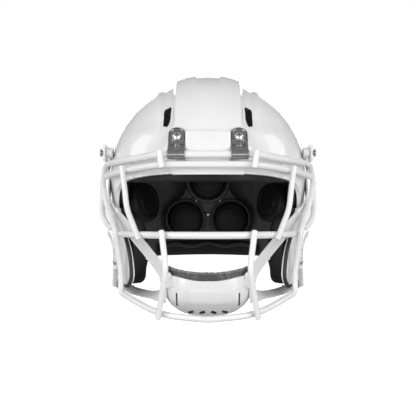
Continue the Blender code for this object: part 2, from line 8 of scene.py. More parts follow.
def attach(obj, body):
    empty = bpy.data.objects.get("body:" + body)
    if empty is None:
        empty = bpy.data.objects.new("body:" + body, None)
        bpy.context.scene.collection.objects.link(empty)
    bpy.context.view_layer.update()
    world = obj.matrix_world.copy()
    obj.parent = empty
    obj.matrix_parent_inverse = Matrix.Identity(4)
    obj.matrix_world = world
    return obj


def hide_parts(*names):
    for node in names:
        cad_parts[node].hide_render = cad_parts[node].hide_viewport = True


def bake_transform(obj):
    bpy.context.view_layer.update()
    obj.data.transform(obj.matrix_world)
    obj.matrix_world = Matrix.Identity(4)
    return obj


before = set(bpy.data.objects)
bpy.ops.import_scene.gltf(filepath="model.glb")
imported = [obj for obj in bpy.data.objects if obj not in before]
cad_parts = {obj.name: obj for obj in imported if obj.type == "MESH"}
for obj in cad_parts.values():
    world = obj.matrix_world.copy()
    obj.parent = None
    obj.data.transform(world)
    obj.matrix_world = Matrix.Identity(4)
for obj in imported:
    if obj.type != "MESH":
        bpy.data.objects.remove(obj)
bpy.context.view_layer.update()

print("frame loaded,", len(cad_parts), "nodes")

sides = (("left", 1), ("right", -1))  # the wearer's left is +X


# small tools

def smoothStep(low, high, value):
    share = min(1, max(0, (value - low) / (high - low)))
    return share * share * (3 - 2 * share)


def bump(value, middle, width):  # 1 at the middle, falling to 0 one width away
    return 1 - smoothStep(0, width, abs(value - middle))


def tableValue(stops, at):  # a smooth curve through a table of (position, value), positions rising
    if at <= stops[0][0]:
        return stops[0][1]
    if at >= stops[-1][0]:
        return stops[-1][1]
    index = max(i for i in range(len(stops) - 1) if stops[i][0] <= at)

    def slope(i):
        before, after = stops[max(0, i - 1)], stops[min(len(stops) - 1, i + 1)]
        return (after[1] - before[1]) / (after[0] - before[0])
    (low, first), (high, second) = stops[index], stops[index + 1]
    span = high - low
    t = (at - low) / span
    return ((2 * t ** 3 - 3 * t ** 2 + 1) * first + (t ** 3 - 2 * t ** 2 + t) * span * slope(index)
            + (3 * t ** 2 - 2 * t ** 3) * second + (t ** 3 - t ** 2) * span * slope(index + 1))


def throughPoints(points, steps, closed=False):  # a smooth line through points
    points = [Vector(point) for point in points]
    count = len(points)
    line = []
    for i in range(count if closed else count - 1):
        if closed:
            a, b, c, d = (points[(i + k) % count] for k in (-1, 0, 1, 2))
        else:
            b, c = points[i], points[i + 1]
            a = points[i - 1] if i else b * 2 - c
            d = points[i + 2] if i + 2 < count else c * 2 - b
        for step in range(steps):
            t = step / steps
            line.append(0.5 * (2 * b + (c - a) * t + (2 * a - 5 * b + 4 * c - d) * t ** 2
                               + (3 * b - a - 3 * c + d) * t ** 3))
    if not closed:
        line.append(points[-1])
    return line


def bentRoute(corners, reach, steps=8):  # straight runs with a round bend at each corner
    corners = [Vector(corner) for corner in corners]
    route = [corners[0]]
    for before, corner, after in zip(corners, corners[1:], corners[2:]):
        trim = min(reach, (corner - before).length * 0.48, (after - corner).length * 0.48)
        start = corner + (before - corner).normalized() * trim
        end = corner + (after - corner).normalized() * trim
        for step in range(steps + 1):
            t = step / steps
            route.append(start * (1 - t) ** 2 + corner * 2 * t * (1 - t) + end * t ** 2)
    route.append(corners[-1])
    return route


def onSide(points, side):  # points given for the wearer's left, on the side asked for
    return [Vector((x * side, y, z)) for x, y, z in points]


def bothHalves(leftHalf):  # a left half from the centre plane, continued to the right
    left = [Vector(point) for point in leftHalf]
    return [Vector((-p.x, p.y, p.z)) for p in reversed(left[1:])] + left


def faceAway(bm, middle):  # an open sheet's faces look away from the middle
    bm.normal_update()
    if sum(face.normal.dot(face.calc_center_median() - middle) for face in bm.faces) < 0:
        bmesh.ops.reverse_faces(bm, faces=bm.faces)


def placed(name, data):  # a new object in the scene
    made = bpy.data.objects.new(name, data)
    bpy.context.scene.collection.objects.link(made)
    return made


def meshFrom(name, bm):
    mesh = bpy.data.meshes.new(name)
    bm.to_mesh(mesh)
    bm.free()
    return mesh


def shadeBySharpness(mesh, sharpAngle=40):
    mesh.shade_smooth()
    mesh.set_sharp_from_angle(angle=math.radians(sharpAngle))


def addPiece(name, bm, finish, body, closed=True, sharpAngle=40, stands=()):
    if closed:
        bmesh.ops.recalc_face_normals(bm, faces=bm.faces)
    mesh = meshFrom(name, bm)
    shadeBySharpness(mesh, sharpAngle)
    piece = placed(name, mesh)
    for one in [finish] if isinstance(finish, str) else finish:
        mesh.materials.append(finishes[one])
    if body:
        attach(piece, body)
    if stands:
        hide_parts(*stands)
    return piece


def addTurned(name, bm, finish, stands=(), body="helmet"):  # turned profiles, closed and facing out
    piece = addPiece(name, bm, finish, body, closed=False, stands=stands)
    bm = bmesh.new()
    bm.from_mesh(piece.data)
    bmesh.ops.remove_doubles(bm, verts=bm.verts, dist=0.00001)
    bmesh.ops.holes_fill(bm, edges=[edge for edge in bm.edges if edge.is_boundary])
    bmesh.ops.recalc_face_normals(bm, faces=bm.faces)
    bm.to_mesh(piece.data)
    bm.free()
    shadeBySharpness(piece.data)
    return piece


def thicken(piece, thickness, offset=-1):
    modifier = piece.modifiers.new("wall", "SOLIDIFY")
    modifier.thickness = thickness
    modifier.offset = offset
    modifier.use_even_offset = True
    return piece


def roundEdges(piece, width, segments=3, angle=35):
    modifier = piece.modifiers.new("roundEdges", "BEVEL")
    modifier.width = width
    modifier.segments = segments
    modifier.limit_method = "ANGLE"
    modifier.angle_limit = math.radians(angle)
    return piece


def routeFrames(route):  # a frame at each point, turning as little as it can along the route
    tangents = []
    for i, point in enumerate(route):
        before, after = route[max(0, i - 1)], route[min(len(route) - 1, i + 1)]
        tangents.append((after - before).normalized())
    side = tangents[0].orthogonal().normalized()
    frames = []
    for i, (point, along) in enumerate(zip(route, tangents)):
        if i:
            side = tangents[i - 1].rotation_difference(along) @ side
            side = (side - along * side.dot(along)).normalized()
        frames.append(Matrix.Translation(point) @ Matrix((side, along.cross(side), along)).transposed().to_4x4())
    return frames


def addBar(bm, route, radius, segments=20, roundEnds=True):  # a circle extruded along a route
    route = [Vector(point) for point in route]
    stations = [(spot, 1.0) for spot in routeFrames(route)]
    if roundEnds:
        steps = 4
        for atStart in (True, False):
            end = stations[0][0] if atStart else stations[-1][0]
            caps = []
            for step in range(1, steps + 1):
                angle = math.pi / 2 * step / (steps + 0.15)
                shift = radius * 0.45 * math.sin(angle) * (-1 if atStart else 1)
                caps.append((end @ Matrix.Translation((0, 0, shift)), 0.55 + 0.45 * math.cos(angle)))
            stations = caps[::-1] + stations if atStart else stations + caps
    first, share = stations[0]
    ring = bmesh.ops.create_circle(bm, cap_ends=True, radius=radius * share, segments=segments, matrix=first)
    face = ring["verts"][0].link_faces[0]
    for (before, oldShare), (after, newShare) in zip(stations, stations[1:]):
        grown = bmesh.ops.extrude_face_region(bm, geom=[face])["geom"]
        face = [item for item in grown if isinstance(item, bmesh.types.BMFace)][0]
        change = after @ Matrix.Scale(newShare / oldShare, 4) @ before.inverted()
        bmesh.ops.transform(bm, matrix=change, verts=face.verts)


def turnedProfile(bm, profile, place, facing, steps=32):  # (radius, height) points spun about the facing axis
    turn = Vector((0, 0, 1)).rotation_difference(Vector(facing).normalized()).to_matrix().to_4x4()
    spot = Matrix.Translation(place) @ turn
    verts = [bm.verts.new(spot @ Vector((radius, 0, height))) for radius, height in profile]
    edges = [bm.edges.new(pair) for pair in zip(verts, verts[1:])]
    bmesh.ops.spin(bm, geom=verts + edges, cent=place, axis=spot.to_3x3() @ Vector((0, 0, 1)), angle=math.tau,
                   steps=steps, use_merge=True)
    bmesh.ops.remove_doubles(bm, verts=bm.verts, dist=0.00001)


def roundedProfile(corners, reach, steps=4):  # (radius, height) corners with their bends rounded
    line = bentRoute([(radius, 0, height) for radius, height in corners], reach, steps)
    return [(max(0, point.x), point.z) for point in line]


def prism(bm, outline, axis, low, high):  # a flat outline extruded along an axis: (y, z) for X, (x, z) for Y
    if axis == "X":
        verts = [bm.verts.new((low, a, b)) for a, b in outline]
        reach = Vector((high - low, 0, 0))
    else:
        verts = [bm.verts.new((a, low, b)) for a, b in outline]
        reach = Vector((0, high - low, 0))
    face = bm.faces.new(verts)
    grown = bmesh.ops.extrude_face_region(bm, geom=[face])["geom"]
    moved = [item for item in grown if isinstance(item, bmesh.types.BMVert)]
    bmesh.ops.translate(bm, vec=reach, verts=moved)
    bmesh.ops.recalc_face_normals(bm, faces=bm.faces)


def bevelEdges(bm, edges, width, segments=3):
    bmesh.ops.bevel(bm, geom=edges, offset=width, segments=segments, profile=0.5, affect="EDGES", material=-1)


def cutAway(piece, cutters, sharpAngle=38):  # closed cutters out of a piece, and its modifiers applied
    tools = []
    for index, bm in enumerate(cutters):
        tool = placed(piece.name + "Cutter" + str(index), meshFrom("cutter", bm))
        for material in piece.data.materials:
            tool.data.materials.append(material)
        modifier = piece.modifiers.new("cut", "BOOLEAN")
        modifier.object = tool
        modifier.solver = "EXACT"
        tools.append(tool)
    bpy.context.view_layer.update()
    mesh = bpy.data.meshes.new_from_object(piece.evaluated_get(bpy.context.evaluated_depsgraph_get()))
    piece.modifiers.clear()
    piece.data = mesh
    for tool in tools:
        bpy.data.objects.remove(tool)
    shadeBySharpness(mesh, sharpAngle)


# materials: shared effects as node groups

def newGroup(name, inputs, outputs):
    group = bpy.data.node_groups.new(name, "ShaderNodeTree")
    for label, value in inputs:
        group.interface.new_socket(name=label, in_out="INPUT", socket_type="NodeSocketFloat").default_value = value
    for label in outputs:
        group.interface.new_socket(name=label, in_out="OUTPUT", socket_type="NodeSocketFloat")
    return group, group.nodes.new("NodeGroupInput"), group.nodes.new("NodeGroupOutput")


def mathNode(tree, operation, first, second=None, third=None):
    node = tree.nodes.new("ShaderNodeMath")
    node.operation = operation
    for socket, value in zip(node.inputs, (first, second, third)):
        if isinstance(value, bpy.types.NodeSocket):
            tree.links.new(value, socket)
        elif value is not None:
            socket.default_value = value
    return node.outputs[0]


def objectPoint(tree):
    return tree.nodes.new("ShaderNodeTexCoord").outputs["Object"]


def noiseOf(tree, point, scale, detail=2.0, roughness=0.5):
    node = tree.nodes.new("ShaderNodeTexNoise")
    tree.links.new(point, node.inputs["Vector"])
    if isinstance(scale, bpy.types.NodeSocket):
        tree.links.new(scale, node.inputs["Scale"])
    else:
        node.inputs["Scale"].default_value = scale
    node.inputs["Detail"].default_value = detail
    node.inputs["Roughness"].default_value = roughness
    return node.outputs["Fac"]


def mouldedSurface():  # grain, the slow waviness of a moulding, and cloudy handling marks
    group, enter, leave = newGroup("mouldedSurface", (("Grain Size", 0.0006), ("Wave Size", 0.012),
                                                      ("Wave Share", 0.5)), ("Height", "Clouds"))
    point = objectPoint(group)
    grain = noiseOf(group, point, mathNode(group, "DIVIDE", 1, enter.outputs["Grain Size"]), 2)
    wave = noiseOf(group, point, mathNode(group, "DIVIDE", 1, enter.outputs["Wave Size"]), 1)
    share = enter.outputs["Wave Share"]
    waved = mathNode(group, "MULTIPLY", wave, share)
    rest = mathNode(group, "MULTIPLY", grain, mathNode(group, "SUBTRACT", 1, share))
    group.links.new(mathNode(group, "ADD", waved, rest), leave.inputs["Height"])
    group.links.new(noiseOf(group, point, 38, 4, 0.6), leave.inputs["Clouds"])
    return group


def fineScratches():  # hair lines in two directions, thinned out by a slow mask
    group, enter, leave = newGroup("fineScratches", (("Amount", 0.5),), ("Lines",))
    point = objectPoint(group)
    lines = []
    for turn, stretch in ((0.6, 14), (-0.9, 18)):
        mapping = group.nodes.new("ShaderNodeMapping")
        mapping.inputs["Rotation"].default_value = (turn, turn * 0.7, turn)
        mapping.inputs["Scale"].default_value = (160, 160 * stretch, 160 * stretch)
        group.links.new(point, mapping.inputs["Vector"])
        found = noiseOf(group, mapping.outputs["Vector"], 1, 1)
        lines.append(mathNode(group, "GREATER_THAN", found, 0.69))
    both = mathNode(group, "MAXIMUM", *lines)
    patches = mathNode(group, "GREATER_THAN", noiseOf(group, point, 45, 2), 0.55)
    shown = mathNode(group, "MULTIPLY", both, patches)
    group.links.new(mathNode(group, "MULTIPLY", shown, enter.outputs["Amount"]), leave.inputs["Lines"])
    return group


def brushedLines():  # long parallel lines across the width of a metal strap
    group, enter, leave = newGroup("brushedLines", (("Line Width", 0.0002),), ("Lines",))
    mapping = group.nodes.new("ShaderNodeMapping")
    mapping.inputs["Scale"].default_value = (0.03, 1, 1)
    group.links.new(objectPoint(group), mapping.inputs["Vector"])
    scale = mathNode(group, "DIVIDE", 1, enter.outputs["Line Width"])
    group.links.new(noiseOf(group, mapping.outputs["Vector"], scale, 3, 0.6), leave.inputs["Lines"])
    return group


def wovenBand():  # webbing on the piece's UV map, u across the band and v along it
    group, enter, leave = newGroup("wovenBand", (("Ribs Across", 9.0), ("Picks Along", 60.0),
                                                 ("Stitch Inset", 0.12)), ("Height", "Shade", "Stitches"))
    split = group.nodes.new("ShaderNodeSeparateXYZ")
    group.links.new(group.nodes.new("ShaderNodeTexCoord").outputs["UV"], split.inputs[0])
    u, v = split.outputs["X"], split.outputs["Y"]
    across = mathNode(group, "MULTIPLY", u, enter.outputs["Ribs Across"])
    along = mathNode(group, "MULTIPLY", v, enter.outputs["Picks Along"])
    slant = mathNode(group, "ADD", along, mathNode(group, "PINGPONG", across, 0.5))
    ribs = mathNode(group, "SINE", mathNode(group, "MULTIPLY", across, math.tau))
    picks = mathNode(group, "SINE", mathNode(group, "MULTIPLY", slant, math.tau))
    ribShare, pickShare = mathNode(group, "MULTIPLY", ribs, 0.3), mathNode(group, "MULTIPLY", picks, 0.25)
    woven = mathNode(group, "ADD", ribShare, pickShare)
    edge = mathNode(group, "PINGPONG", u, 0.5)
    nearLine = mathNode(group, "COMPARE", edge, enter.outputs["Stitch Inset"], 0.022)
    beat = mathNode(group, "SINE", mathNode(group, "MULTIPLY", along, 1.55))
    dashes = mathNode(group, "GREATER_THAN", beat, -0.35)
    stitches = mathNode(group, "MULTIPLY", nearLine, dashes)
    raised = mathNode(group, "ADD", woven, mathNode(group, "MULTIPLY", stitches, 0.9))
    group.links.new(raised, leave.inputs["Height"])
    # Shade is painted shade: the weave's low threads are coloured darker, as shade in the grooves
    group.links.new(mathNode(group, "ADD", woven, 0.5), leave.inputs["Shade"])
    group.links.new(stitches, leave.inputs["Stitches"])
    return group


def dottedCloth():  # rows of small holes or loops, from cells
    group, enter, leave = newGroup("dottedCloth", (("Dot Pitch", 0.0016), ("Dot Share", 0.32)), ("HoleShade", "Height"))
    cells = group.nodes.new("ShaderNodeTexVoronoi")
    cells.inputs["Randomness"].default_value = 0.12
    group.links.new(objectPoint(group), cells.inputs["Vector"])
    group.links.new(mathNode(group, "DIVIDE", 1, enter.outputs["Dot Pitch"]), cells.inputs["Scale"])
    distance = cells.outputs["Distance"]
    # the holes' mask, used to colour them dark: painted shade in the holes
    group.links.new(mathNode(group, "LESS_THAN", distance, enter.outputs["Dot Share"]), leave.inputs["HoleShade"])
    group.links.new(mathNode(group, "MINIMUM", distance, enter.outputs["Dot Share"]), leave.inputs["Height"])
    return group


groups = {build.__name__: build()
          for build in (mouldedSurface, fineScratches, brushedLines, wovenBand, dottedCloth)}


def placeGroup(tree, name, **values):
    node = tree.nodes.new("ShaderNodeGroup")
    node.node_tree = groups[name]
    for label, value in values.items():
        node.inputs[label.replace("_", " ")].default_value = value
    return node


def newMaterial(name, roughness, metallic=0.0, coat=0.0, coatRoughness=0.05, specular=0.5):
    material = bpy.data.materials.new(name)
    material.use_nodes = True
    shader = material.node_tree.nodes["Principled BSDF"]
    shader.inputs["Roughness"].default_value = roughness
    shader.inputs["Metallic"].default_value = metallic
    shader.inputs["Coat Weight"].default_value = coat
    shader.inputs["Coat Roughness"].default_value = coatRoughness
    shader.inputs["Specular IOR Level"].default_value = specular
    return material, material.node_tree, shader


def colourBetween(tree, factor, low, high, lowAt=0.3, highAt=0.7):
    node = tree.nodes.new("ShaderNodeValToRGB")
    tree.links.new(factor, node.inputs["Fac"])
    for element, place, colour in zip(node.color_ramp.elements, (lowAt, highAt), (low, high)):
        element.position = place
        element.color = (*colour, 1)
    return node.outputs["Color"]


def valueBetween(tree, factor, low, high, fromLow=0.3, fromHigh=0.7):
    node = tree.nodes.new("ShaderNodeMapRange")
    tree.links.new(factor, node.inputs["Value"])
    for label, value in (("From Min", fromLow), ("From Max", fromHigh), ("To Min", low), ("To Max", high)):
        node.inputs[label].default_value = value
    return node.outputs["Result"]


def mixColour(tree, factor, first, second):
    node = tree.nodes.new("ShaderNodeMix")
    node.data_type = "RGBA"
    tree.links.new(factor, node.inputs[0])
    for socket, value in ((node.inputs[6], first), (node.inputs[7], second)):
        if isinstance(value, bpy.types.NodeSocket):
            tree.links.new(value, socket)
        else:
            socket.default_value = (*value, 1)
    return node.outputs[2]


def addBump(tree, shader, height, strength, distance):
    node = tree.nodes.new("ShaderNodeBump")
    node.inputs["Strength"].default_value = strength
    node.inputs["Distance"].default_value = distance
    tree.links.new(height, node.inputs["Height"])
    tree.links.new(node.outputs["Normal"], shader.inputs["Normal"])


def plastic(name, colour, cloudColour, roughness, bumpDepth, grain=0.0006, wave=0.012, waveShare=0.5, coat=0.0,
            scratches=0.4, specular=0.5):
    material, tree, shader = newMaterial(name, roughness, coat=coat, specular=specular)
    surface = placeGroup(tree, "mouldedSurface", Grain_Size=grain, Wave_Size=wave, Wave_Share=waveShare)
    marks = placeGroup(tree, "fineScratches", Amount=scratches)
    tree.links.new(colourBetween(tree, surface.outputs["Clouds"], colour, cloudColour), shader.inputs["Base Color"])
    rough = valueBetween(tree, surface.outputs["Clouds"], roughness * 0.85, roughness * 1.2)
    tree.links.new(mathNode(tree, "ADD", rough, mathNode(tree, "MULTIPLY", marks.outputs["Lines"], 0.12)),
                   shader.inputs["Roughness"])
    addBump(tree, shader, surface.outputs["Height"], 0.6, bumpDepth)
    return material


def metal(name, colour, cloudColour, roughness, lineWidth, bumpDepth):
    material, tree, shader = newMaterial(name, roughness, metallic=1)
    lines = placeGroup(tree, "brushedLines", Line_Width=lineWidth).outputs["Lines"]
    marks = placeGroup(tree, "fineScratches", Amount=0.6).outputs["Lines"]
    tree.links.new(colourBetween(tree, lines, colour, cloudColour, 0.35, 0.65), shader.inputs["Base Color"])
    rough = valueBetween(tree, lines, roughness * 0.7, roughness * 1.4)
    tree.links.new(mathNode(tree, "ADD", rough, mathNode(tree, "MULTIPLY", marks, 0.1)), shader.inputs["Roughness"])
    addBump(tree, shader, lines, 0.5, bumpDepth)
    return material


def webbing(name, colour, shadeColour, stitchColour, ribs, picks):
    material, tree, shader = newMaterial(name, 0.72, specular=0.3)
    shader.inputs["Sheen Weight"].default_value = 0.15
    band = placeGroup(tree, "wovenBand", Ribs_Across=ribs, Picks_Along=picks)
    # the shade colour goes in the weave's grooves: painted shade
    woven = colourBetween(tree, band.outputs["Shade"], shadeColour, colour, 0.1, 0.75)
    tree.links.new(mixColour(tree, band.outputs["Stitches"], woven, stitchColour), shader.inputs["Base Color"])
    tree.links.new(valueBetween(tree, band.outputs["Shade"], 0.8, 0.62), shader.inputs["Roughness"])
    addBump(tree, shader, band.outputs["Height"], 0.8, 0.00018)
    return material


def dotted(name, colour, holeShadeColour, roughness, pitch, share, depth, sheen=0.0):
    material, tree, shader = newMaterial(name, roughness, specular=0.3)
    shader.inputs["Sheen Weight"].default_value = sheen
    cloth = placeGroup(tree, "dottedCloth", Dot_Pitch=pitch, Dot_Share=share)
    surface = placeGroup(tree, "mouldedSurface", Grain_Size=0.0004, Wave_Size=0.008, Wave_Share=0.3)
    tone = colourBetween(tree, surface.outputs["Clouds"], [c * 0.8 for c in colour], colour)
    # the holes take the dark colour: painted shade
    tree.links.new(mixColour(tree, cloth.outputs["HoleShade"], tone, holeShadeColour), shader.inputs["Base Color"])
    tree.links.new(valueBetween(tree, surface.outputs["Clouds"], roughness * 0.9, min(1, roughness * 1.15)),
                   shader.inputs["Roughness"])
    addBump(tree, shader, cloth.outputs["Height"], 0.8, depth)
    return material


def grey(value):
    return (value, value, value)


finishes = {
    "shellWhite": plastic("shellWhite", grey(0.86), grey(0.83), 0.13, 0.00003, 0.0009, 0.014, 0.7, coat=0.5),
    # the inner wall's near-black finish is painted shade, standing in for the shadow inside the shell
    "shellInsideShade": plastic("shellInsideShade", grey(0.13), grey(0.09), 0.55, 0.00006, 0.0007, 0.01, 0.4),
    "bumperWhite": plastic("bumperWhite", grey(0.84), grey(0.8), 0.28, 0.00005, 0.0005, 0.012, 0.3),
    "maskWhite": plastic("maskWhite", grey(0.86), grey(0.83), 0.24, 0.00002, 0.0011, 0.006, 0.3, coat=0.3),
    "clipWhite": plastic("clipWhite", grey(0.82), grey(0.78), 0.34, 0.00006, 0.0006, 0.008, 0.3),
    "cupWhite": plastic("cupWhite", grey(0.84), grey(0.8), 0.27, 0.00005, 0.0007, 0.01, 0.5, coat=0.2),
    "trimBlack": plastic("trimBlack", grey(0.02), grey(0.032), 0.55, 0.00008, 0.0008, 0.006, 0.3),
    "frameBlack": plastic("frameBlack", grey(0.03), grey(0.042), 0.38, 0.00006, 0.0007, 0.008, 0.3),
    "vinylBlack": plastic("vinylBlack", grey(0.009), grey(0.016), 0.46, 0.00014, 0.0011, 0.009, 0.35,
                          specular=0.25),
    "pipingGrey": plastic("pipingGrey", grey(0.1), grey(0.14), 0.45, 0.0001, 0.0009, 0.006, 0.3),
    "steel": metal("steel", grey(0.5), grey(0.3), 0.24, 0.00022, 0.00003),
    "darkSteel": metal("darkSteel", grey(0.24), grey(0.14), 0.3, 0.0003, 0.00003),
    "chrome": metal("chrome", grey(0.8), grey(0.74), 0.08, 0.0005, 0.00001),
    "strapWhite": webbing("strapWhite", grey(0.82), grey(0.6), grey(0.88), 8, 14),
    # the second colour of each dotted cloth is painted shade in its holes
    "knitGrey": dotted("knitGrey", grey(0.16), grey(0.04), 0.95, 0.0017, 0.42, 0.0006, sheen=0.2),
    "yarnGrey": dotted("yarnGrey", grey(0.42), grey(0.12), 0.95, 0.0006, 0.4, 0.0002, sheen=0.2),
    "meshBlack": dotted("meshBlack", grey(0.035), grey(0.008), 0.7, 0.0021, 0.33, 0.0003),
}
print("materials ready,", len(finishes))


# the shell and its surface

shellForm = {
    "centreY": 0.0075,
    "equator": 0.035,  # widest level
    "halfWidth": 0.1245,
    "halfLength": 0.1475,
    "rise": 0.1365,
    "wall": 0.004,
    "browNarrowing": 0.08,  # the centre panel is this much narrower at the brow
    "turns": 176,
    "levelStep": 0.004,
    "bottom": -0.118,
}
# half-width of each moulding line from the crown outward, and its depth below the ellipsoid
moulding = ((0, 0.002), (0.013, 0.002), (0.016, 0), (0.038, 0), (0.044, 0.006), (0.056, 0.006),
            (0.062, 0.003), (0.0767, 0.003), (0.0896, 0.0022), (0.102, 0.0012), (0.1119, 0.0004), (0.1245, 0))
sideFactors = ((-0.12, 0.915), (-0.1, 0.915), (-0.062, 0.918), (-0.036, 0.925), (-0.012, 0.965), (0.012, 0.99),
               (0.035, 1), (0.06, 1))  # by height
backFactors = ((-0.12, 0.74), (-0.1, 0.78), (-0.062, 0.85), (-0.036, 0.905), (-0.012, 0.955), (0.012, 0.985),
               (0.035, 1), (0.06, 1))
faceEdge = ((-0.145, 0.0368), (-0.12, 0.035), (-0.095, 0.0318), (-0.078, 0.028), (-0.064, 0.018),
            (-0.057, 0.002), (-0.06, -0.014), (-0.071, -0.031), (-0.08, -0.048), (-0.085, -0.066),
            (-0.085, -0.08), (-0.077, -0.0895), (-0.06, -0.0915), (-0.03, -0.0905), (0.0, -0.083),
            (0.03, -0.0725), (0.07, -0.0705))  # (y, z) from brow to nape
earHole = {"y": 0.008, "z": -0.008, "radius": 0.016}
ventOutline = ((0.049, 0.109), (0.0452, 0.1118), (0.0412, 0.1128), (0.0411, 0.104), (0.0414, 0.096),
               (0.0437, 0.0885), (0.0465, 0.0885), (0.049, 0.09), (0.0492, 0.1))


def section(behind, z, outset):  # half-width and half-length of the shell at a height
    side, back = tableValue(sideFactors, z), tableValue(backFactors, z)
    k = math.sqrt(max(0, 1 - (max(0, z - shellForm["equator"]) / (shellForm["rise"] + outset)) ** 2))
    length = shellForm["halfLength"] * (back if behind else 1)
    return (shellForm["halfWidth"] * side + outset) * k, (length + outset) * k


def wallPoint(azimuth, z, outset):  # degrees from the brow, 90 at the wearer's left
    angle = math.radians(azimuth)
    halfWidth, halfLength = section(math.cos(angle) < 0, z, outset)
    return Vector((halfWidth * math.sin(angle), shellForm["centreY"] - halfLength * math.cos(angle), z))


def sideX(y, z, outset):
    halfWidth, halfLength = section(y > shellForm["centreY"], z, outset)
    return halfWidth * math.sqrt(max(0, 1 - ((y - shellForm["centreY"]) / halfLength) ** 2))


def crownPoint(x, y, outset):
    inside = (1 - (x / (shellForm["halfWidth"] + outset)) ** 2
              - ((y - shellForm["centreY"]) / (shellForm["halfLength"] + outset)) ** 2)
    return Vector((x, y, shellForm["equator"] + (shellForm["rise"] + outset) * math.sqrt(max(0, inside))))


def mouldingDepth(ringX):
    for (low, first), (high, second) in zip(moulding, moulding[1:]):
        if ringX <= high:
            return first + (second - first) * (ringX - low) / (high - low)
    return 0


def softDepth(ringX):  # the inner wall follows the mouldings loosely
    reach = [ringX + step * 0.001 for step in range(-4, 5)]
    return sum(mouldingDepth(abs(x)) for x in reach) / len(reach)


def ringStops():  # half-widths of the sphere's rings, close together beside each moulding line
    stops = {0.0, 0.003, 0.0065, 0.0095, 0.0195, 0.024, 0.029, 0.034, 0.047, 0.05, 0.053, 0.0655, 0.069, 0.073}
    for line, _ in moulding[1:-2]:
        stops |= {round(line - 0.0009, 5), line, round(line + 0.0009, 5)}
    rings = [stop for stop in sorted(stops) if stop < 0.104]
    rings = [rings[0]] + [b for a, b in zip(rings, rings[1:]) if b - a > 0.0004]
    outer = math.asin(0.104 / shellForm["halfWidth"])
    steps = 20
    return rings + [shellForm["halfWidth"] * math.sin(outer + (math.pi / 2 - outer) * step / steps)
                    for step in range(steps + 1)]


def shellSolid(inset, depthAt, bottom):  # the ellipsoid with its mouldings, and the wall below it
    rings = ringStops()
    last = len(rings) - 1
    bm = bmesh.new()
    bmesh.ops.create_uvsphere(bm, u_segments=shellForm["turns"], v_segments=2 * last, radius=1,
                              matrix=Matrix.Rotation(math.pi / 2, 4, "Y"))
    bmesh.ops.delete(bm, geom=[vert for vert in bm.verts if vert.co.z < -0.001], context="VERTS")
    outer = Vector((shellForm["halfWidth"], shellForm["halfLength"], shellForm["rise"]))
    size = outer - Vector((inset, inset, inset))
    for vert in bm.verts:
        latitude = math.asin(max(-1, min(1, vert.co.x)))
        ringX = rings[round(abs(latitude) / (math.pi / 2) * last)]
        turn = math.atan2(max(0, vert.co.z), -vert.co.y)
        fade = 1 - smoothStep(0.062, 0.11, ringX)
        x = math.copysign(ringX * (1 - shellForm["browNarrowing"] * max(0, math.cos(turn)) ** 2 * fade), vert.co.x)
        k = math.sqrt(max(0, 1 - (x / outer.x) ** 2))
        x *= size.x / outer.x
        y, z = -size.y * k * math.cos(turn), size.z * k * math.sin(turn)
        normal = Vector((x / size.x ** 2, y / size.y ** 2, z / size.z ** 2)).normalized()
        shown = smoothStep(0.043, 0.065, z) if y < 0 else smoothStep(0.01, 0.04, z)
        if ringX < 0.016:
            shown = smoothStep(0.1, 0.13, z)
        vert.co = Vector((x, y + shellForm["centreY"], z + shellForm["equator"])) - normal * depthAt(ringX) * shown
    rim = [edge for edge in bm.edges if edge.is_boundary]
    z = shellForm["equator"]
    while z > bottom:
        before = tableValue(sideFactors, z), tableValue(backFactors, z)
        z -= shellForm["levelStep"]
        side, back = tableValue(sideFactors, z) / before[0], tableValue(backFactors, z) / before[1]
        grown = bmesh.ops.extrude_edge_only(bm, edges=rim)["geom"]
        fresh = {item for item in grown if isinstance(item, bmesh.types.BMVert)}
        rim = [item for item in grown if isinstance(item, bmesh.types.BMEdge) and set(item.verts) <= fresh]
        for vert in fresh:
            vert.co.x *= side
            if vert.co.y > shellForm["centreY"]:
                vert.co.y = shellForm["centreY"] + (vert.co.y - shellForm["centreY"]) * back
            vert.co.z = z
    bmesh.ops.holes_fill(bm, edges=rim)
    bmesh.ops.recalc_face_normals(bm, faces=bm.faces)
    return bm


def buildShell():
    shell = addPiece("shellMoulding", shellSolid(0, mouldingDepth, shellForm["bottom"]),
                     ("shellWhite", "shellInsideShade"), None)
    inside = shellSolid(shellForm["wall"], softDepth, shellForm["bottom"] - 0.01)
    # the cut inner wall takes the near-black finish: painted shade for the shell's shadowed inside
    for face in inside.faces:
        face.material_index = 1
    reach, clear = 0.2, 0.25  # past the shell on every side
    opening = [(point.y, point.z) for point in throughPoints([(0, y, z) for y, z in faceEdge], 6)]
    opening = ([(-clear, faceEdge[0][1])] + opening
               + [(clear, faceEdge[-1][1]), (clear, -reach), (-clear, -reach)])
    face = bmesh.new()
    prism(face, opening, "X", -reach, reach)
    ears = bmesh.new()
    ring = [(earHole["y"] + earHole["radius"] * math.cos(math.tau * i / 48),
             earHole["z"] + earHole["radius"] * math.sin(math.tau * i / 48)) for i in range(48)]
    prism(ears, ring, "X", -reach, reach)
    cutters = [inside, face, ears]
    for _, side in sides:
        line = throughPoints([(x, 0, z) for x, z in ventOutline], 5, True)
        outline = [(point.x * side, point.z) for point in line]
        vent = bmesh.new()
        prism(vent, outline, "Y", -reach, reach)
        cutters.append(vent)
    cutAway(shell, cutters)
    bm = bmesh.new()
    bm.from_mesh(shell.data)
    bmesh.ops.dissolve_degenerate(bm, dist=0.00005, edges=bm.edges)
    bm.to_mesh(shell.data)
    bm.free()
    shadeBySharpness(shell.data, 38)
    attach(shell, "helmet")
    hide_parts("shell")
    return shell


shell = buildShell()
print("shell moulded,", len(shell.data.polygons), "faces")


# the facemask

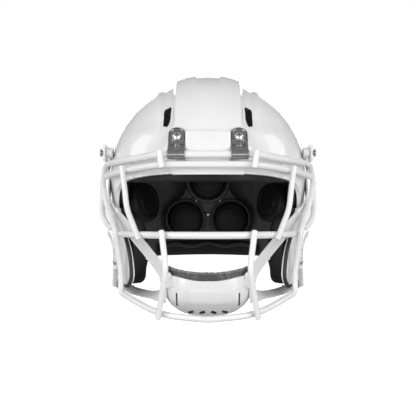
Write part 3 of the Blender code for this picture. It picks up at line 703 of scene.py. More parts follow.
maskForm = {
    "barRadius": 0.0037,
    "uprightRadius": 0.00305,
    "jawRadius": 0.00335,
    "sides": 20,
    "bend": 0.012,
    "jawBend": 0.009,
    "weld": 0.0029,
    "weldReach": 0.0012,  # bars closer than this are welded
    "midTurn": 73,  # degrees either way
    "midSteps": 40,
    "midWidth": 0.103,
    "midDepth": 0.118,
    "midBack": -0.05,
    "midZ": -0.027,
    "midSag": 0.002,
}
hinge = {"y": -0.15, "z": 0.0548}
maskRoutes = {
    "brow_bar_upper": bothHalves([(0, hinge["y"], hinge["z"]), (0.0415, hinge["y"], hinge["z"]),
                                  (0.054, hinge["y"], 0.0542), (0.0705, -0.1285, 0.0535), (0.0875, -0.1065, 0.0531),
                                  (0.1005, -0.0865, 0.053), (0.1155, -0.0595, 0.053)]),
    "brow_bar_lower": bothHalves([(0, -0.152, 0.0443), (0.0415, -0.152, 0.0441), (0.054, -0.1515, 0.0434),
                                  (0.0705, -0.1315, 0.0427), (0.0885, -0.1085, 0.0417), (0.1008, -0.0915, 0.0405),
                                  (0.1152, -0.067, 0.0389), (0.1235, -0.0535, 0.0374)]),
    "jaw_bar": bothHalves([(0, -0.165, -0.1107), (0.0384, -0.155, -0.109), (0.0607, -0.135, -0.1062),
                           (0.0798, -0.112, -0.1011), (0.0885, -0.1, -0.0989), (0.0998, -0.084, -0.097),
                           (0.0988, -0.083, -0.0777), (0.1012, -0.0845, -0.0605), (0.1029, -0.0875, -0.0443),
                           (0.1043, -0.0913, -0.0275), (0.1109, -0.078, -0.0115), (0.1193, -0.064, 0.0047),
                           (0.1249, -0.053, 0.0216), (0.127, -0.0478, 0.0305)]),
}
sideRoutes = {  # on the wearer's left
    "side_loop": [(0.1193, -0.0525, 0.0532), (0.1262, -0.0385, 0.0498), (0.1296, -0.032, 0.036),
                  (0.1299, -0.034, 0.012), (0.129, -0.041, -0.006), (0.122, -0.052, -0.0185),
                  (0.1145, -0.0635, -0.0235)],
    "eye_bar": [(0.0935, -0.1145, 0.0445), (0.0894, -0.1195, 0.0194), (0.0867, -0.1245, -0.0006),
                (0.0714, -0.1452, -0.0315)],
    "chin_bar": [(0.0463, -0.164, -0.0235), (0.0408, -0.175, -0.0596), (0.0505, -0.1555, -0.111)],
    "brow_stub": [(0.0492, -0.1585, 0.0568), (0.0466, -0.1595, 0.0412)],
    "jaw_prong": [(0.1065, -0.0775, -0.068), (0.1095, -0.062, -0.08), (0.1125, -0.048, -0.0925)],
}


def closestPair(first, second):
    best = None
    for a in first:
        for b in second:
            gap = (a - b).length
            if best is None or gap < best[0]:
                best = (gap, a, b)
    return best


def denser(route, step=0.0015):
    points = [Vector(route[0])]
    for a, b in zip(route, route[1:]):
        count = max(1, round((b - a).length / step))
        points += [a + (b - a) * (i + 1) / count for i in range(count)]
    return points


def buildMask():
    bars = {}
    for name, corners in maskRoutes.items():
        radius = maskForm["jawRadius"] if name == "jaw_bar" else maskForm["barRadius"]
        bars[name] = (bentRoute(corners, maskForm["jawBend" if name == "jaw_bar" else "bend"]), radius)
    mid = []
    for step in range(-maskForm["midSteps"], maskForm["midSteps"] + 1):
        turn = math.radians(step * maskForm["midTurn"] / maskForm["midSteps"])
        mid.append(Vector((maskForm["midWidth"] * math.sin(turn),
                           maskForm["midBack"] - maskForm["midDepth"] * math.cos(turn),
                           maskForm["midZ"] - maskForm["midSag"] * math.sin(turn) ** 2)))
    bars["mid_bar"] = (mid, maskForm["barRadius"])
    for name, corners in sideRoutes.items():
        for sideName, side in sides:
            bars[name + "_" + sideName] = (bentRoute(onSide(corners, side), maskForm["bend"]),
                                           maskForm["uprightRadius"])
    for name, (route, radius) in bars.items():
        bm = bmesh.new()
        addBar(bm, route, radius, maskForm["sides"])
        addPiece("wire_" + name, bm, "maskWhite", "facemask", stands=[name])

    bm = bmesh.new()
    routes = {name: (denser(route), radius) for name, (route, radius) in bars.items()}
    names = sorted(routes)
    for index, name in enumerate(names):
        for other in names[index + 1:]:
            gap, a, b = closestPair(routes[name][0], routes[other][0])
            if gap > routes[name][1] + routes[other][1] + maskForm["weldReach"]:
                continue
            apart = (b - a).normalized()
            spot = a + apart * routes[name][1]
            turn = Vector((0, 0, 1)).rotation_difference(apart).to_matrix().to_4x4()
            bead = bmesh.ops.create_icosphere(bm, subdivisions=3, radius=maskForm["weld"])["verts"]
            bmesh.ops.scale(bm, vec=(1, 1, 0.8), verts=bead)
            bmesh.ops.transform(bm, matrix=Matrix.Translation(spot) @ turn, verts=bead)
    addPiece("maskWelds", bm, "maskWhite", "facemask")
    return len(bars)


print("facemask bent and welded,", buildMask(), "bars")


# the front bumper and small hardware keep their CAD shapes

def paintNode(name, finish):
    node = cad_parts[name]
    node.data.materials.clear()
    node.data.materials.append(finishes[finish])


keptNodes = {"front_bumper": "bumperWhite"}
for sideName, _ in sides:
    keptNodes.update({"side_boss_" + sideName: "clipWhite",
                      "side_clip_" + sideName: "clipWhite", "release_button_" + sideName: "steel",
                      "upper_stud_" + sideName: "chrome", "lower_stud_" + sideName: "chrome"})
for name, finish in keptNodes.items():
    paintNode(name, finish)
print("kept solids painted,", len(keptNodes))


# the edge trims on the jaw flaps and the rear bumper

edgeForm = {
    "trimRadius": 0.0022,
    "inset": 0.0012,  # how far the bead's middle lies inside the shell's face
    "bumperHalfWidth": 24.5,  # degrees
    "bumperHalfHeight": 0.0165,
    "bumperZ": -0.052,
    "crown": 0.0034,
    "seat": 0.0006,
    "rings": 12,
    "spokes": 64,
    "squareness": 5.0,
    "trim": ((-0.071, -0.031), (-0.08, -0.048), (-0.085, -0.066), (-0.085, -0.08), (-0.077, -0.0895),
             (-0.062, -0.0902)),
}


def buildEdgeTrim(sideName, side):  # the black bead round the front corner of a jaw flap
    bm = bmesh.new()
    route = [(side * (sideX(y, z, 0) - edgeForm["inset"]), y, z) for y, z in edgeForm["trim"]]
    addBar(bm, throughPoints(route, 8), edgeForm["trimRadius"], 16)
    addPiece("edgeTrim_" + sideName, bm, "trimBlack", "helmet", stands=("edge_trim_" + sideName,))


def buildRearBumper():  # a rounded patch, thickest in the middle
    bm = bmesh.new()

    power = edgeForm["squareness"]

    def spot(share, angle, outset):
        a, b = math.cos(angle), math.sin(angle)
        reach = share * (abs(a) ** power + abs(b) ** power) ** (-1 / power)
        return wallPoint(180 + edgeForm["bumperHalfWidth"] * reach * a,
                         edgeForm["bumperZ"] + edgeForm["bumperHalfHeight"] * reach * b, outset)

    stations = [(step / edgeForm["rings"], True) for step in range(1, edgeForm["rings"] + 1)]
    stations += [(step / edgeForm["rings"], False) for step in range(edgeForm["rings"], 0, -1)]
    rings = []
    for share, outside in stations:
        crown = edgeForm["crown"] * (1 - share ** 6) ** 0.5
        outset = crown + edgeForm["seat"] if outside else -edgeForm["seat"]
        rings.append([bm.verts.new(spot(share, math.tau * i / edgeForm["spokes"], outset))
                      for i in range(edgeForm["spokes"])])
    for before, after in zip(rings, rings[1:]):
        for i in range(edgeForm["spokes"]):
            j = (i + 1) % edgeForm["spokes"]
            bm.faces.new((before[i], before[j], after[j], after[i]))
    for ring in (rings[0], rings[-1]):
        bm.faces.new(ring)
    addPiece("rearBumper", bm, "bumperWhite", "helmet", stands=("rear_bumper",))


buildRearBumper()
for sideName, side in sides:
    buildEdgeTrim(sideName, side)
print("edge trims and rear bumper made")


# the front clips: an arched steel strap, folded round the brow bar

clipForm = {
    "x": 0.0325,
    "halfWidth": 0.0088,
    "plate": 0.0013,
    "bore": 0.0041,
    "top": (-0.1283, 0.0842),  # y and z of the arch's top, and of the fold above the bar
    "knee": (-0.1396, 0.0664),
    "slope": (0, -0.83, 0.55),  # the way the plate faces
    "tip": 0.16,  # share of the width left at the top of the arch
    "rim": 0.0007,
    "channel": 0.0005,
    "channelX": 0.0042,
    "columns": 36,
    "beadInset": 0.0006,
    "beadLift": 0.0014,
    "beadRadius": 0.00075,
    "beadLeg": 0.0095,
    "screwSpot": (-0.1352, 0.0748),
    "screwLift": 0.0009,
    "cross": (0.0036, 0.0007, 0.0004),
    "crossLift": 0.00265,
}
clipTop, clipKnee = Vector((0, *clipForm["top"])), Vector((0, *clipForm["knee"]))
clipSlope = Vector(clipForm["slope"]).normalized()


def clipPath():  # down the plate, then round the brow bar
    ring = clipForm["bore"] + clipForm["plate"] / 2
    around = []
    for step in range(37):
        angle = math.radians(110 + 200 * step / 36)
        around.append(Vector((0, hinge["y"] + ring * math.cos(angle), hinge["z"] + ring * math.sin(angle))))
    plate = [clipTop + (clipKnee - clipTop) * i / 30 for i in range(31)]
    return plate + [clipKnee + (around[0] - clipKnee) * i / 8 for i in range(1, 8)] + around


def buildClip(sideName, side):
    path = clipPath()
    runs = [0.0]
    for a, b in zip(path, path[1:]):
        runs.append(runs[-1] + (b - a).length)
    last = len(path) - 1
    bm = bmesh.new()
    bmesh.ops.create_grid(bm, x_segments=clipForm["columns"], y_segments=last, size=1)
    for vert in bm.verts:
        across, index = vert.co.x, round((vert.co.y + 1) / 2 * last)
        run = runs[index]
        arch = math.sqrt(max(0.0, 1 - (1 - min(1, run / clipForm["halfWidth"])) ** 2))
        width = clipForm["halfWidth"] * max(clipForm["tip"], arch)
        along = (path[min(last, index + 1)] - path[max(0, index - 1)]).normalized()
        out = Vector((0, along.z, -along.y))  # away from the shell
        if out.y > 0 and run < 0.03:
            out = -out
        fade = 1 - smoothStep(0.019, 0.024, run)
        lift = clipForm["rim"] * (1 - smoothStep(0.0008, 0.002, min(width * (1 - abs(across)), run))) * fade
        groove = bump(abs(across * width), clipForm["channelX"], 0.0011) * smoothStep(0.0135, 0.0155, run) * fade
        lift -= clipForm["channel"] * groove
        vert.co = path[index] + out * lift + Vector((clipForm["x"] * side + across * width, 0, 0))
    bm.normal_update()
    if max(bm.faces, key=lambda face: face.calc_center_median().z).normal.y > 0:
        bmesh.ops.reverse_faces(bm, faces=bm.faces)
    clip = addPiece("frontClip_" + sideName, bm, "steel", "helmet", closed=False,
                    stands=["front_clip_" + sideName])
    roundEdges(thicken(clip, clipForm["plate"], 0), 0.0003, 2, 50)


def buildClipRim(sideName, side):  # a darker bead round the arch
    down = (clipKnee - clipTop).normalized()
    reach = clipForm["halfWidth"] - clipForm["beadInset"]
    route = []
    for step in range(25):
        angle = math.pi * step / 24
        spot = clipTop + down * (clipForm["halfWidth"] - reach * math.sin(angle)) + clipSlope * clipForm["beadLift"]
        route.append(spot + Vector((clipForm["x"] * side - reach * math.cos(angle), 0, 0)))
    leg = down * clipForm["beadLeg"]
    bm = bmesh.new()
    addBar(bm, [route[0] + leg] + route + [route[-1] + leg], clipForm["beadRadius"], 10)
    addPiece("clipRim_" + sideName, bm, "darkSteel", "helmet")


def buildClipScrew(sideName, side):  # a domed head, with a black cross laid on top: painted shade for the driver's recess
    place = Vector((clipForm["x"] * side, *clipForm["screwSpot"])) + clipSlope * clipForm["screwLift"]
    profile = roundedProfile(((0.0052, -0.0006), (0.0052, 0.0005), (0.0045, 0.0006), (0.0044, 0.0012),
                              (0.003, 0.0025), (0, 0.0028)), 0.0006)
    bm = bmesh.new()
    turnedProfile(bm, profile[::-1], place, clipSlope, 40)
    addTurned("frontScrew_" + sideName, bm, "chrome", ["front_screw_" + sideName])
    turn = Vector((0, 0, 1)).rotation_difference(clipSlope).to_matrix().to_4x4()
    bm = bmesh.new()
    for quarter in (0, math.pi / 2):
        bar = bmesh.ops.create_cube(bm, size=1)["verts"]
        bmesh.ops.scale(bm, vec=clipForm["cross"], verts=bar)
        bmesh.ops.rotate(bm, cent=(0, 0, 0), matrix=Matrix.Rotation(quarter, 3, "Z"), verts=bar)
    inlay = Matrix.Translation(place + clipSlope * clipForm["crossLift"]) @ turn
    bmesh.ops.transform(bm, matrix=inlay, verts=bm.verts)
    roundEdges(addPiece("screwRecessShade_" + sideName, bm, "frameBlack", "helmet"), 0.00012, 2)


for sideName, side in sides:
    buildClip(sideName, side)
    buildClipRim(sideName, side)
    buildClipScrew(sideName, side)
print("front clips folded")


# the chin cup and its padding

cupForm = {"centre": (0, -0.084, -0.0795), "radii": (0.0515, 0.0475, 0.0415), "fullness": 2.5, "wall": 0.003,
           "top": -0.0765, "back": -0.088, "sideLift": 0.0052, "panel": 0.0009, "padTop": 0.0068, "padWall": 0.005,
           "loops": 0.0009, "padLift": 0.0036, "padBack": -0.0845, "slot": (0.0017, 0.05, 0.0155),
           "slotSpot": (0.0336, -0.125, -0.0985), "vents": ((0.0062, 0.0062), (0.0185, 0.0068)), "ventTurn": 0.35,
           "ventSize": (0.06, 0.0038), "ventSpot": (-0.125, -0.1128)}
fringeForm = {"rows": 3, "count": 86, "spread": 78, "pitch": 0.0014, "yarn": 0.00038, "reach": 0.0011,
              "wander": 0.0003, "height": 1.9, "sink": 0.0004}


def cupSheet(inset, top, back, turns, rings, lift):
    bm = bmesh.new()
    bmesh.ops.create_uvsphere(bm, u_segments=turns, v_segments=rings, radius=1)
    power = cupForm["fullness"]
    for vert in bm.verts:
        vert.co /= sum(abs(part) ** power for part in vert.co) ** (1 / power)
    bmesh.ops.scale(bm, vec=[radius - inset for radius in cupForm["radii"]], verts=bm.verts)
    bmesh.ops.translate(bm, vec=cupForm["centre"], verts=bm.verts)
    for point, normal in (((0, 0, top), (0, 0, 1)), ((0, back, 0), (0, 1, 0))):
        everything = bm.verts[:] + bm.edges[:] + bm.faces[:]
        bmesh.ops.bisect_plane(bm, geom=everything, plane_co=point, plane_no=normal, clear_outer=True)
    for vert in bm.verts:
        high = smoothStep(top - 0.022, top, vert.co.z)
        vert.co.z += (lift * smoothStep(0.006, 0.047, abs(vert.co.x)) - 0.0008) * high
    faceAway(bm, Vector(cupForm["centre"]))
    return bm


def buildChinCup():
    bm = cupSheet(0, cupForm["top"], cupForm["back"], 112, 64, cupForm["sideLift"])
    bm.normal_update()
    moves = []
    for vert in bm.verts:
        x, z = abs(vert.co.x), vert.co.z
        slantX = x + (z + 0.095) * 0.25
        panel = (1 - smoothStep(0.0205, 0.0225, slantX)) * smoothStep(-0.1035, -0.1015, z)
        panel *= 1 - smoothStep(-0.0885, -0.0865, z)
        rib = bump(x, 0.0395, 0.003) * smoothStep(-0.112, -0.106, z)
        step = smoothStep(0.0335, 0.0345, x) * 0.5
        moves.append((vert, vert.normal * (cupForm["panel"] * (panel * 0.8 - step) + 0.0006 * rib)))
    for vert, move in moves:
        vert.co += move
    cup = addPiece("chinCup", bm, "cupWhite", None, closed=False)
    thicken(cup, cupForm["wall"])
    cuts = bmesh.new()
    for _, side in sides:
        slotAt = Matrix.Translation(onSide([cupForm["slotSpot"]], side)[0])
        bmesh.ops.create_cube(cuts, size=1, matrix=slotAt @ Matrix.Diagonal((*cupForm["slot"], 1)))
        for x, width in cupForm["vents"]:
            ventAt = (Matrix.Translation((x * side, *cupForm["ventSpot"]))
                      @ Matrix.Rotation(cupForm["ventTurn"] * side, 4, "Y"))
            bmesh.ops.create_cube(cuts, size=1, matrix=ventAt @ Matrix.Diagonal((width, *cupForm["ventSize"], 1)))
    bevelEdges(cuts, [e for e in cuts.edges if abs((e.verts[0].co - e.verts[1].co).y) > 0.03], 0.0007)
    cutAway(cup, [cuts])
    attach(cup, "chin_cup")
    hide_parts("chin_cup")


def buildChinPadding():
    bm = cupSheet(cupForm["wall"] + 0.0008, cupForm["top"] + cupForm["padTop"], cupForm["padBack"], 210, 110,
                  cupForm["padLift"])
    bm.normal_update()
    loops = []
    for vert in bm.verts:
        height = noise.noise(vert.co * 1100) + 0.3 * noise.noise(vert.co * 500)
        rim = smoothStep(cupForm["top"] - 0.002, cupForm["top"] + 0.004, vert.co.z)
        loops.append((vert, vert.normal * cupForm["loops"] * (height * (0.25 + rim * 0.75))
                      + Vector((0, 0, rim * 0.0006 * noise.noise(vert.co * 1200)))))
    for vert, move in loops:
        vert.co += move
    pad = addPiece("chinPadding", bm, "knitGrey", "chin_cup", closed=False, sharpAngle=70,
                   stands=["chin_pad"])
    thicken(pad, cupForm["padWall"])
    roundEdges(pad, 0.0014, 3, 60)


def buildFringe():  # small loops of yarn standing along the padding's rim
    power = cupForm["fullness"]
    bm = bmesh.new()
    for row in range(fringeForm["rows"]):
        inset = cupForm["wall"] + fringeForm["pitch"] * (row + 1)
        radii = [radius - inset for radius in cupForm["radii"]]
        for step in range(fringeForm["count"]):
            share = (step + 0.5 * (row % 2)) / (fringeForm["count"] - 1)
            angle = math.radians(fringeForm["spread"] * (2 * share - 1))
            a, b = math.sin(angle), math.cos(angle)
            size = (abs(a) ** power + abs(b) ** power) ** (1 / power)
            x, y = a / size * radii[0], cupForm["centre"][1] - b / size * radii[1]
            wobble = noise.noise(Vector((step * 0.71, row * 3.3, 0.5)))
            lift = cupForm["padLift"] * smoothStep(0.006, 0.047, abs(x)) - 0.0008
            foot = Vector((x, y, cupForm["top"] + cupForm["padTop"] + lift - fringeForm["sink"]))
            turn = Matrix.Rotation(angle + wobble * 1.6, 3, "Z")
            reach = fringeForm["reach"] + fringeForm["wander"] * wobble
            loop = [foot + turn @ Vector((reach * math.cos(t), wobble * 0.0006 * math.sin(t),
                                          reach * fringeForm["height"] * math.sin(t)))
                    for t in (math.pi * k / 6 for k in range(7))]
            addBar(bm, loop, fringeForm["yarn"], 5, roundEnds=False)
    addPiece("chinFringe", bm, "yarnGrey", "chin_cup", sharpAngle=80)


buildChinCup()
buildChinPadding()
buildFringe()
print("chin cup and padding made")


# the chin straps: webbing from the cup to the snap buckles

strapForm = {"width": 0.016, "thickness": 0.0015, "columns": 10, "overBuckle": 0.0064,
             "keeper": 0.0052, "tail": {"upper": 0.009, "lower": 0.024}}
buckleForm = {"lift": 0.0041, "size": (0.0205, 0.0215, 0.0026), "corner": 0.0045, "rim": 0.0022, "dish": 0.0007,
              "barAlong": 0.0076, "barZ": 0.0011, "bar": (0.0165, 0.0022, 0.0016), "snapZ": 0.0008}
upperStrap = (((0.0432, -0.1166, -0.0865), (-0.73, -0.58, 0.21)), ((0.0462, -0.1156, -0.0755), (-0.6, -0.57, 0.4)),
              ((0.0535, -0.11, -0.0645), (-0.38, -0.55, 0.68)), ((0.0691, -0.098, -0.0468), (-0.32, -0.55, 0.72)),
              ((0.0853, -0.0855, -0.0299), (-0.32, -0.55, 0.72)), ((0.099, -0.0745, -0.0145), (-0.25, -0.65, 0.68)),
              ((0.111, -0.064, -0.0015), (-0.1, -0.78, 0.6)), ((0.1194, -0.0445, 0.0125), (-0.05, -0.78, 0.6)),
              ((0.1226, -0.0255, 0.031), (0, -0.78, 0.6)), ((0.1262, -0.0145, 0.0445), (0, -0.78, 0.6)))
lowerStrap = (((0.0455, -0.1125, -0.0955), (0, 0.05, 1)), ((0.0512, -0.1035, -0.096), (-0.2, 0.25, 0.9)),
              ((0.0586, -0.094, -0.0968), (-0.62, 0.58, 0.5)), ((0.07, -0.08, -0.0985), (-0.72, 0.62, 0.3)),
              ((0.086, -0.06, -0.0985), (-0.7, 0.66, 0.25)), ((0.098, -0.0455, -0.0965), (-0.55, 0.8, 0.1)),
              ((0.1078, -0.0385, -0.0966), (-0.4, 0.9, -0.1)), ((0.1135, -0.0345, -0.0885), (-0.15, 0.95, -0.25)),
              ((0.1142, -0.0305, -0.0785), (0, 0.95, -0.28)))
buckles = {"upper": (-0.004, 0.059), "lower": (-0.022, -0.0605)}  # y and z on the shell


def buildBand(name, stations, width=strapForm["width"]):
    bm = bmesh.new()
    uv = bm.loops.layers.uv.new("band")
    rows = len(stations) - 1
    bmesh.ops.create_grid(bm, x_segments=strapForm["columns"], y_segments=rows, size=1)
    for face in bm.faces:
        for loop in face.loops:
            row = (loop.vert.co.y + 1) / 2 * rows
            loop[uv].uv = ((loop.vert.co.x + 1) / 2, row * (stations[1][0] - stations[0][0]).length / width)
    for vert in bm.verts:
        centre, wide = stations[round((vert.co.y + 1) / 2 * rows)]
        vert.co = centre + wide * vert.co.x * width / 2
    bm.normal_update()
    band = addPiece(name, bm, "strapWhite", None, closed=False)
    thicken(band, strapForm["thickness"], 0)
    roundEdges(band, 0.0004, 2, 50)
    return band


def buildKeeper(name, station, nextCentre, body):  # a loop of plastic round the webbing
    centre, wide = station
    along = (nextCentre - centre).normalized()
    out = wide.cross(along).normalized()
    place = Matrix.Translation(centre) @ Matrix((wide, along, out)).transposed().to_4x4()
    bm = bmesh.new()
    size = (strapForm["width"] + 0.0024, strapForm["keeper"], strapForm["thickness"] + 0.0014)
    bmesh.ops.create_cube(bm, size=1, matrix=place @ Matrix.Diagonal((*size, 1)))
    bevelEdges(bm, bm.edges[:], 0.0006)
    addPiece(name, bm, "cupWhite", body)


def buildBuckle(name, foot, lean, along, body):
    turn = Matrix((along.cross(lean), along, lean)).transposed().to_4x4()
    place = Matrix.Translation(foot + lean * buckleForm["lift"]) @ turn
    bm = bmesh.new()
    bmesh.ops.create_cube(bm, size=1, matrix=Matrix.Diagonal((*buckleForm["size"], 1)))
    upright = [e for e in bm.edges if abs((e.verts[0].co - e.verts[1].co).z) > 0.002]
    bevelEdges(bm, upright, buckleForm["corner"], 6)
    topFace = max(bm.faces, key=lambda face: face.calc_center_median().z)
    bmesh.ops.inset_region(bm, faces=[topFace], thickness=buckleForm["rim"], use_even_offset=True)
    bmesh.ops.translate(bm, vec=(0, 0, -buckleForm["dish"]), verts=topFace.verts)
    bmesh.ops.inset_region(bm, faces=[topFace], thickness=0.0004, use_even_offset=True)
    for offset in (-buckleForm["barAlong"], buckleForm["barAlong"]):  # the bars that the webbing goes round
        spot = Matrix.Translation((0, offset, buckleForm["barZ"])) @ Matrix.Diagonal((*buckleForm["bar"], 1))
        bar = bmesh.ops.create_cube(bm, size=1, matrix=spot)["verts"]
        bevelEdges(bm, list({e for v in bar for e in v.link_edges}), 0.0005)
    bmesh.ops.transform(bm, matrix=place, verts=bm.verts)
    roundEdges(addPiece(name, bm, "cupWhite", body, stands=[body]), 0.0004, 2, 40)
    bm = bmesh.new()
    profile = roundedProfile(((0.0062, -0.0002), (0.0062, 0.0008), (0.005, 0.001), (0.004, 0.0018), (0, 0.0021)),
                             0.0005)
    turnedProfile(bm, profile[::-1], place @ Vector((0, 0, buckleForm["snapZ"])), lean, 36)
    addTurned(name + "Snap", bm, "chrome", body=body)


def bandAlong(centres, across):  # (centre, direction across) stations with the direction square to the band
    made = []
    for i, (centre, wide) in enumerate(zip(centres, across)):
        along = (centres[min(len(centres) - 1, i + 1)] - centres[max(0, i - 1)]).normalized()
        made.append((centre, (wide - along * wide.dot(along)).normalized()))
    return made


def buildStrap(sideName, side, level, stations):
    y, z = buckles[level]
    surface = sideX(y, z, 0)
    foot = Vector((surface * side, y, z))
    lean = Vector((side, (surface - sideX(y + 0.01, z, 0)) / 0.01,
                   (surface - sideX(y, z + 0.01, 0)) / 0.01)).normalized()
    centres = onSide([centre for centre, _ in stations], side)
    across = onSide([direction for _, direction in stations], side)
    along = foot - centres[-1]
    along = (along - lean * along.dot(lean)).normalized()
    wide = across[-1]
    wide = (wide - along * wide.dot(along) - lean * wide.dot(lean)).normalized()
    bar = foot + lean * strapForm["overBuckle"] - along * buckleForm["barAlong"]
    centres += [bar - along * 0.0035 + lean * 0.0001, bar + along * 0.0006]
    line = bandAlong(throughPoints(centres, 9), throughPoints(across + [wide, wide], 9))
    split = len(line) // 2
    body = level + "_buckle_" + sideName

    cupSide = buildBand(level + "StrapCup_" + sideName, line[:split + 1])
    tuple(line[split][0])
    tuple(line[4][0])
    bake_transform(cupSide)
    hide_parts(level + "_strap_" + sideName)
    shellSide = buildBand(level + "StrapShell_" + sideName, line[split:])
    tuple(line[-24][0])
    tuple(line[-12][0])
    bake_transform(shellSide)
    buildKeeper(level + "Keeper_" + sideName, line[split], line[split + 1][0], "helmet")
    buildKeeper(level + "CupLoop_" + sideName, line[9], line[10][0], "chin_cup")
    buildBuckle(level + "Buckle_" + sideName, foot, lean, along, body)

    start = foot + lean * strapForm["overBuckle"] + along * 0.0074
    reach = strapForm["tail"][level]
    curl = [start + along * reach * t + lean * (0.0012 * math.sin(t * math.pi) + reach * 0.3 * t ** 3)
            for t in (0, 0.2, 0.4, 0.6, 0.8, 1)]
    curl = throughPoints(curl, 6)
    tail = buildBand(level + "StrapTail_" + sideName, bandAlong(curl, [wide] * len(curl)),
                     strapForm["width"] * 0.98)
    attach(tail, body)


for sideName, side in sides:
    for level, stations in (("upper", upperStrap), ("lower", lowerStrap)):
        buildStrap(sideName, side, level, stations)
print("straps and buckles made")


# the liner: padded pieces on the shell's inner wall

padForms = {  # half sizes are degrees or metres across, then metres along; depth is from the inner wall
    "front": {"half": (52, 0.0215), "thickness": 0.013, "corners": 9, "crown": 3.2, "cuts": 40,
              "at": (0, 0.0495), "sink": 0.0003},
    "crown": {"half": (0.036, 0.062), "thickness": 0.016, "corners": 3.5, "crown": 2.6, "cuts": 30,
              "at": (0, 0.005), "sink": 0.003},
    "nape": {"half": (44, 0.0105), "thickness": 0.012, "corners": 6, "crown": 2.6, "cuts": 34,
             "at": (180, -0.0602), "sink": 0},
    "side": {"half": (17, 0.028), "thickness": 0.017, "corners": 2.4, "crown": 2.4, "cuts": 26,
             "at": (118, 0.008), "sink": 0.009},
    "temple": {"half": (8.5, 0.02), "thickness": 0.016, "corners": 4.5, "crown": 3.4, "cuts": 26,
               "at": (73, 0.02), "sink": 0},
    "jaw": {"half": (14.5, 0.0412), "thickness": 0.0245, "corners": 8, "crown": 6, "cuts": 34,
            "at": (68, -0.048), "sink": 0.0005},
}
pipedPads = {"side": (0.93, 0.34, "pipingGrey"), "jaw": (0.95, 0.3, "vinylBlack")}  # share out, height, finish
pipingRadius = {"front": 0.0006, "nape": 0.0006, "side": 0.0009, "jaw": 0.0008}
linerSeat = -shellForm["wall"] - 0.001  # the pads' backs, measured from the shell's outside


def wallPlace(form, side=1):  # where a pad on the wall puts degrees, metres up and depth
    def place(u, v, depth):
        return wallPoint((form["at"][0] + u) * side, form["at"][1] + v, linerSeat - form["sink"] - depth)
    return place


def crownPlace(u, v, depth):
    form = padForms["crown"]
    return crownPoint(u, shellForm["centreY"] + form["at"][1] + v, linerSeat - form["sink"] - depth)


def padSpot(form, place, a, b, c):  # a and b across the pad, c from the shell side to the head side
    depth = form["thickness"] * ((c if c > 0 else c * 0.25) + 0.25) / 1.25
    return place(a * form["half"][0], b * form["half"][1], depth)


def buildPad(name, form, place, finish, stands, detail=None):
    bm = bmesh.new()
    bmesh.ops.create_cube(bm, size=2)
    bmesh.ops.subdivide_edges(bm, edges=bm.edges[:], cuts=form["cuts"], use_grid_fill=True)
    p, q = form["corners"], form["crown"]
    for vert in bm.verts:
        a, b, c = vert.co
        size = ((abs(a) ** p + abs(b) ** p) ** (q / p) + abs(c) ** q) ** (1 / q)
        a, b, c = a / size, b / size, c / size
        soft = 0.035 * noise.noise(Vector((a * 2.1, b * 2.1, c * 1.3 + len(name))))  # slight unevenness of foam
        change = (detail(a, b) if detail and c > 0 else 0) * smoothStep(0, 0.5, c)
        vert.co = padSpot(form, place, a, b, min(1, c * (1 - abs(soft)) - change))
    pad = addPiece(name, bm, finish, "helmet", stands=stands)


def padOutline(form, place, reach, c, count=72):  # a line round the pad, a share of the way out
    p = form["corners"]
    points = []
    for step in range(count + 1):
        angle = math.tau * step / count
        a, b = math.cos(angle), math.sin(angle)
        size = (abs(a) ** p + abs(b) ** p) ** (1 / p) / reach
        points.append(padSpot(form, place, a / size, b / size, c))
    return points


def addPiping(name, route, radius, finish="pipingGrey"):
    bm = bmesh.new()
    addBar(bm, route, radius, 10, roundEnds=False)
    addPiece(name, bm, finish, "helmet")


def addStitches(name, route, pitch):  # short raised stitches along a route
    bm = bmesh.new()
    for spot in routeFrames(denser(route, pitch))[::2]:
        stitch = bmesh.ops.create_icosphere(bm, subdivisions=1, radius=0.0004)["verts"]
        bmesh.ops.scale(bm, vec=(0.9, 0.9, 2.2), verts=stitch)
        bmesh.ops.transform(bm, matrix=spot, verts=stitch)
    addPiece(name, bm, "pipingGrey", "helmet", sharpAngle=80)


def frontSeams(a, b):
    return 0.22 * (bump(abs(a), 0.36, 0.02) + bump(abs(a), 0.74, 0.02)) + 0.12 * bump(b, -0.55, 0.07)


def crownCells(a, b):
    return 0.3 * max(bump(a, 0, 0.05), bump(abs(b), 0.33, 0.04))


def sideRing(a, b):
    return 0.16 * bump(math.hypot(a, b), 0.66, 0.05)


def templeChevrons(a, b):
    return 0.34 * bump(b - 0.55 * abs(a), 0.05, 0.14) + 0.2 * bump(b - 0.55 * abs(a), -0.55, 0.12)


def jawSeams(a, b):
    return (0.3 * max(bump(b, 0.3, 0.05), bump(b, -0.28, 0.05)) + 0.12 * smoothStep(-0.3, -0.6, b)
            + 0.1 * bump(abs(a), 0.8, 0.08))


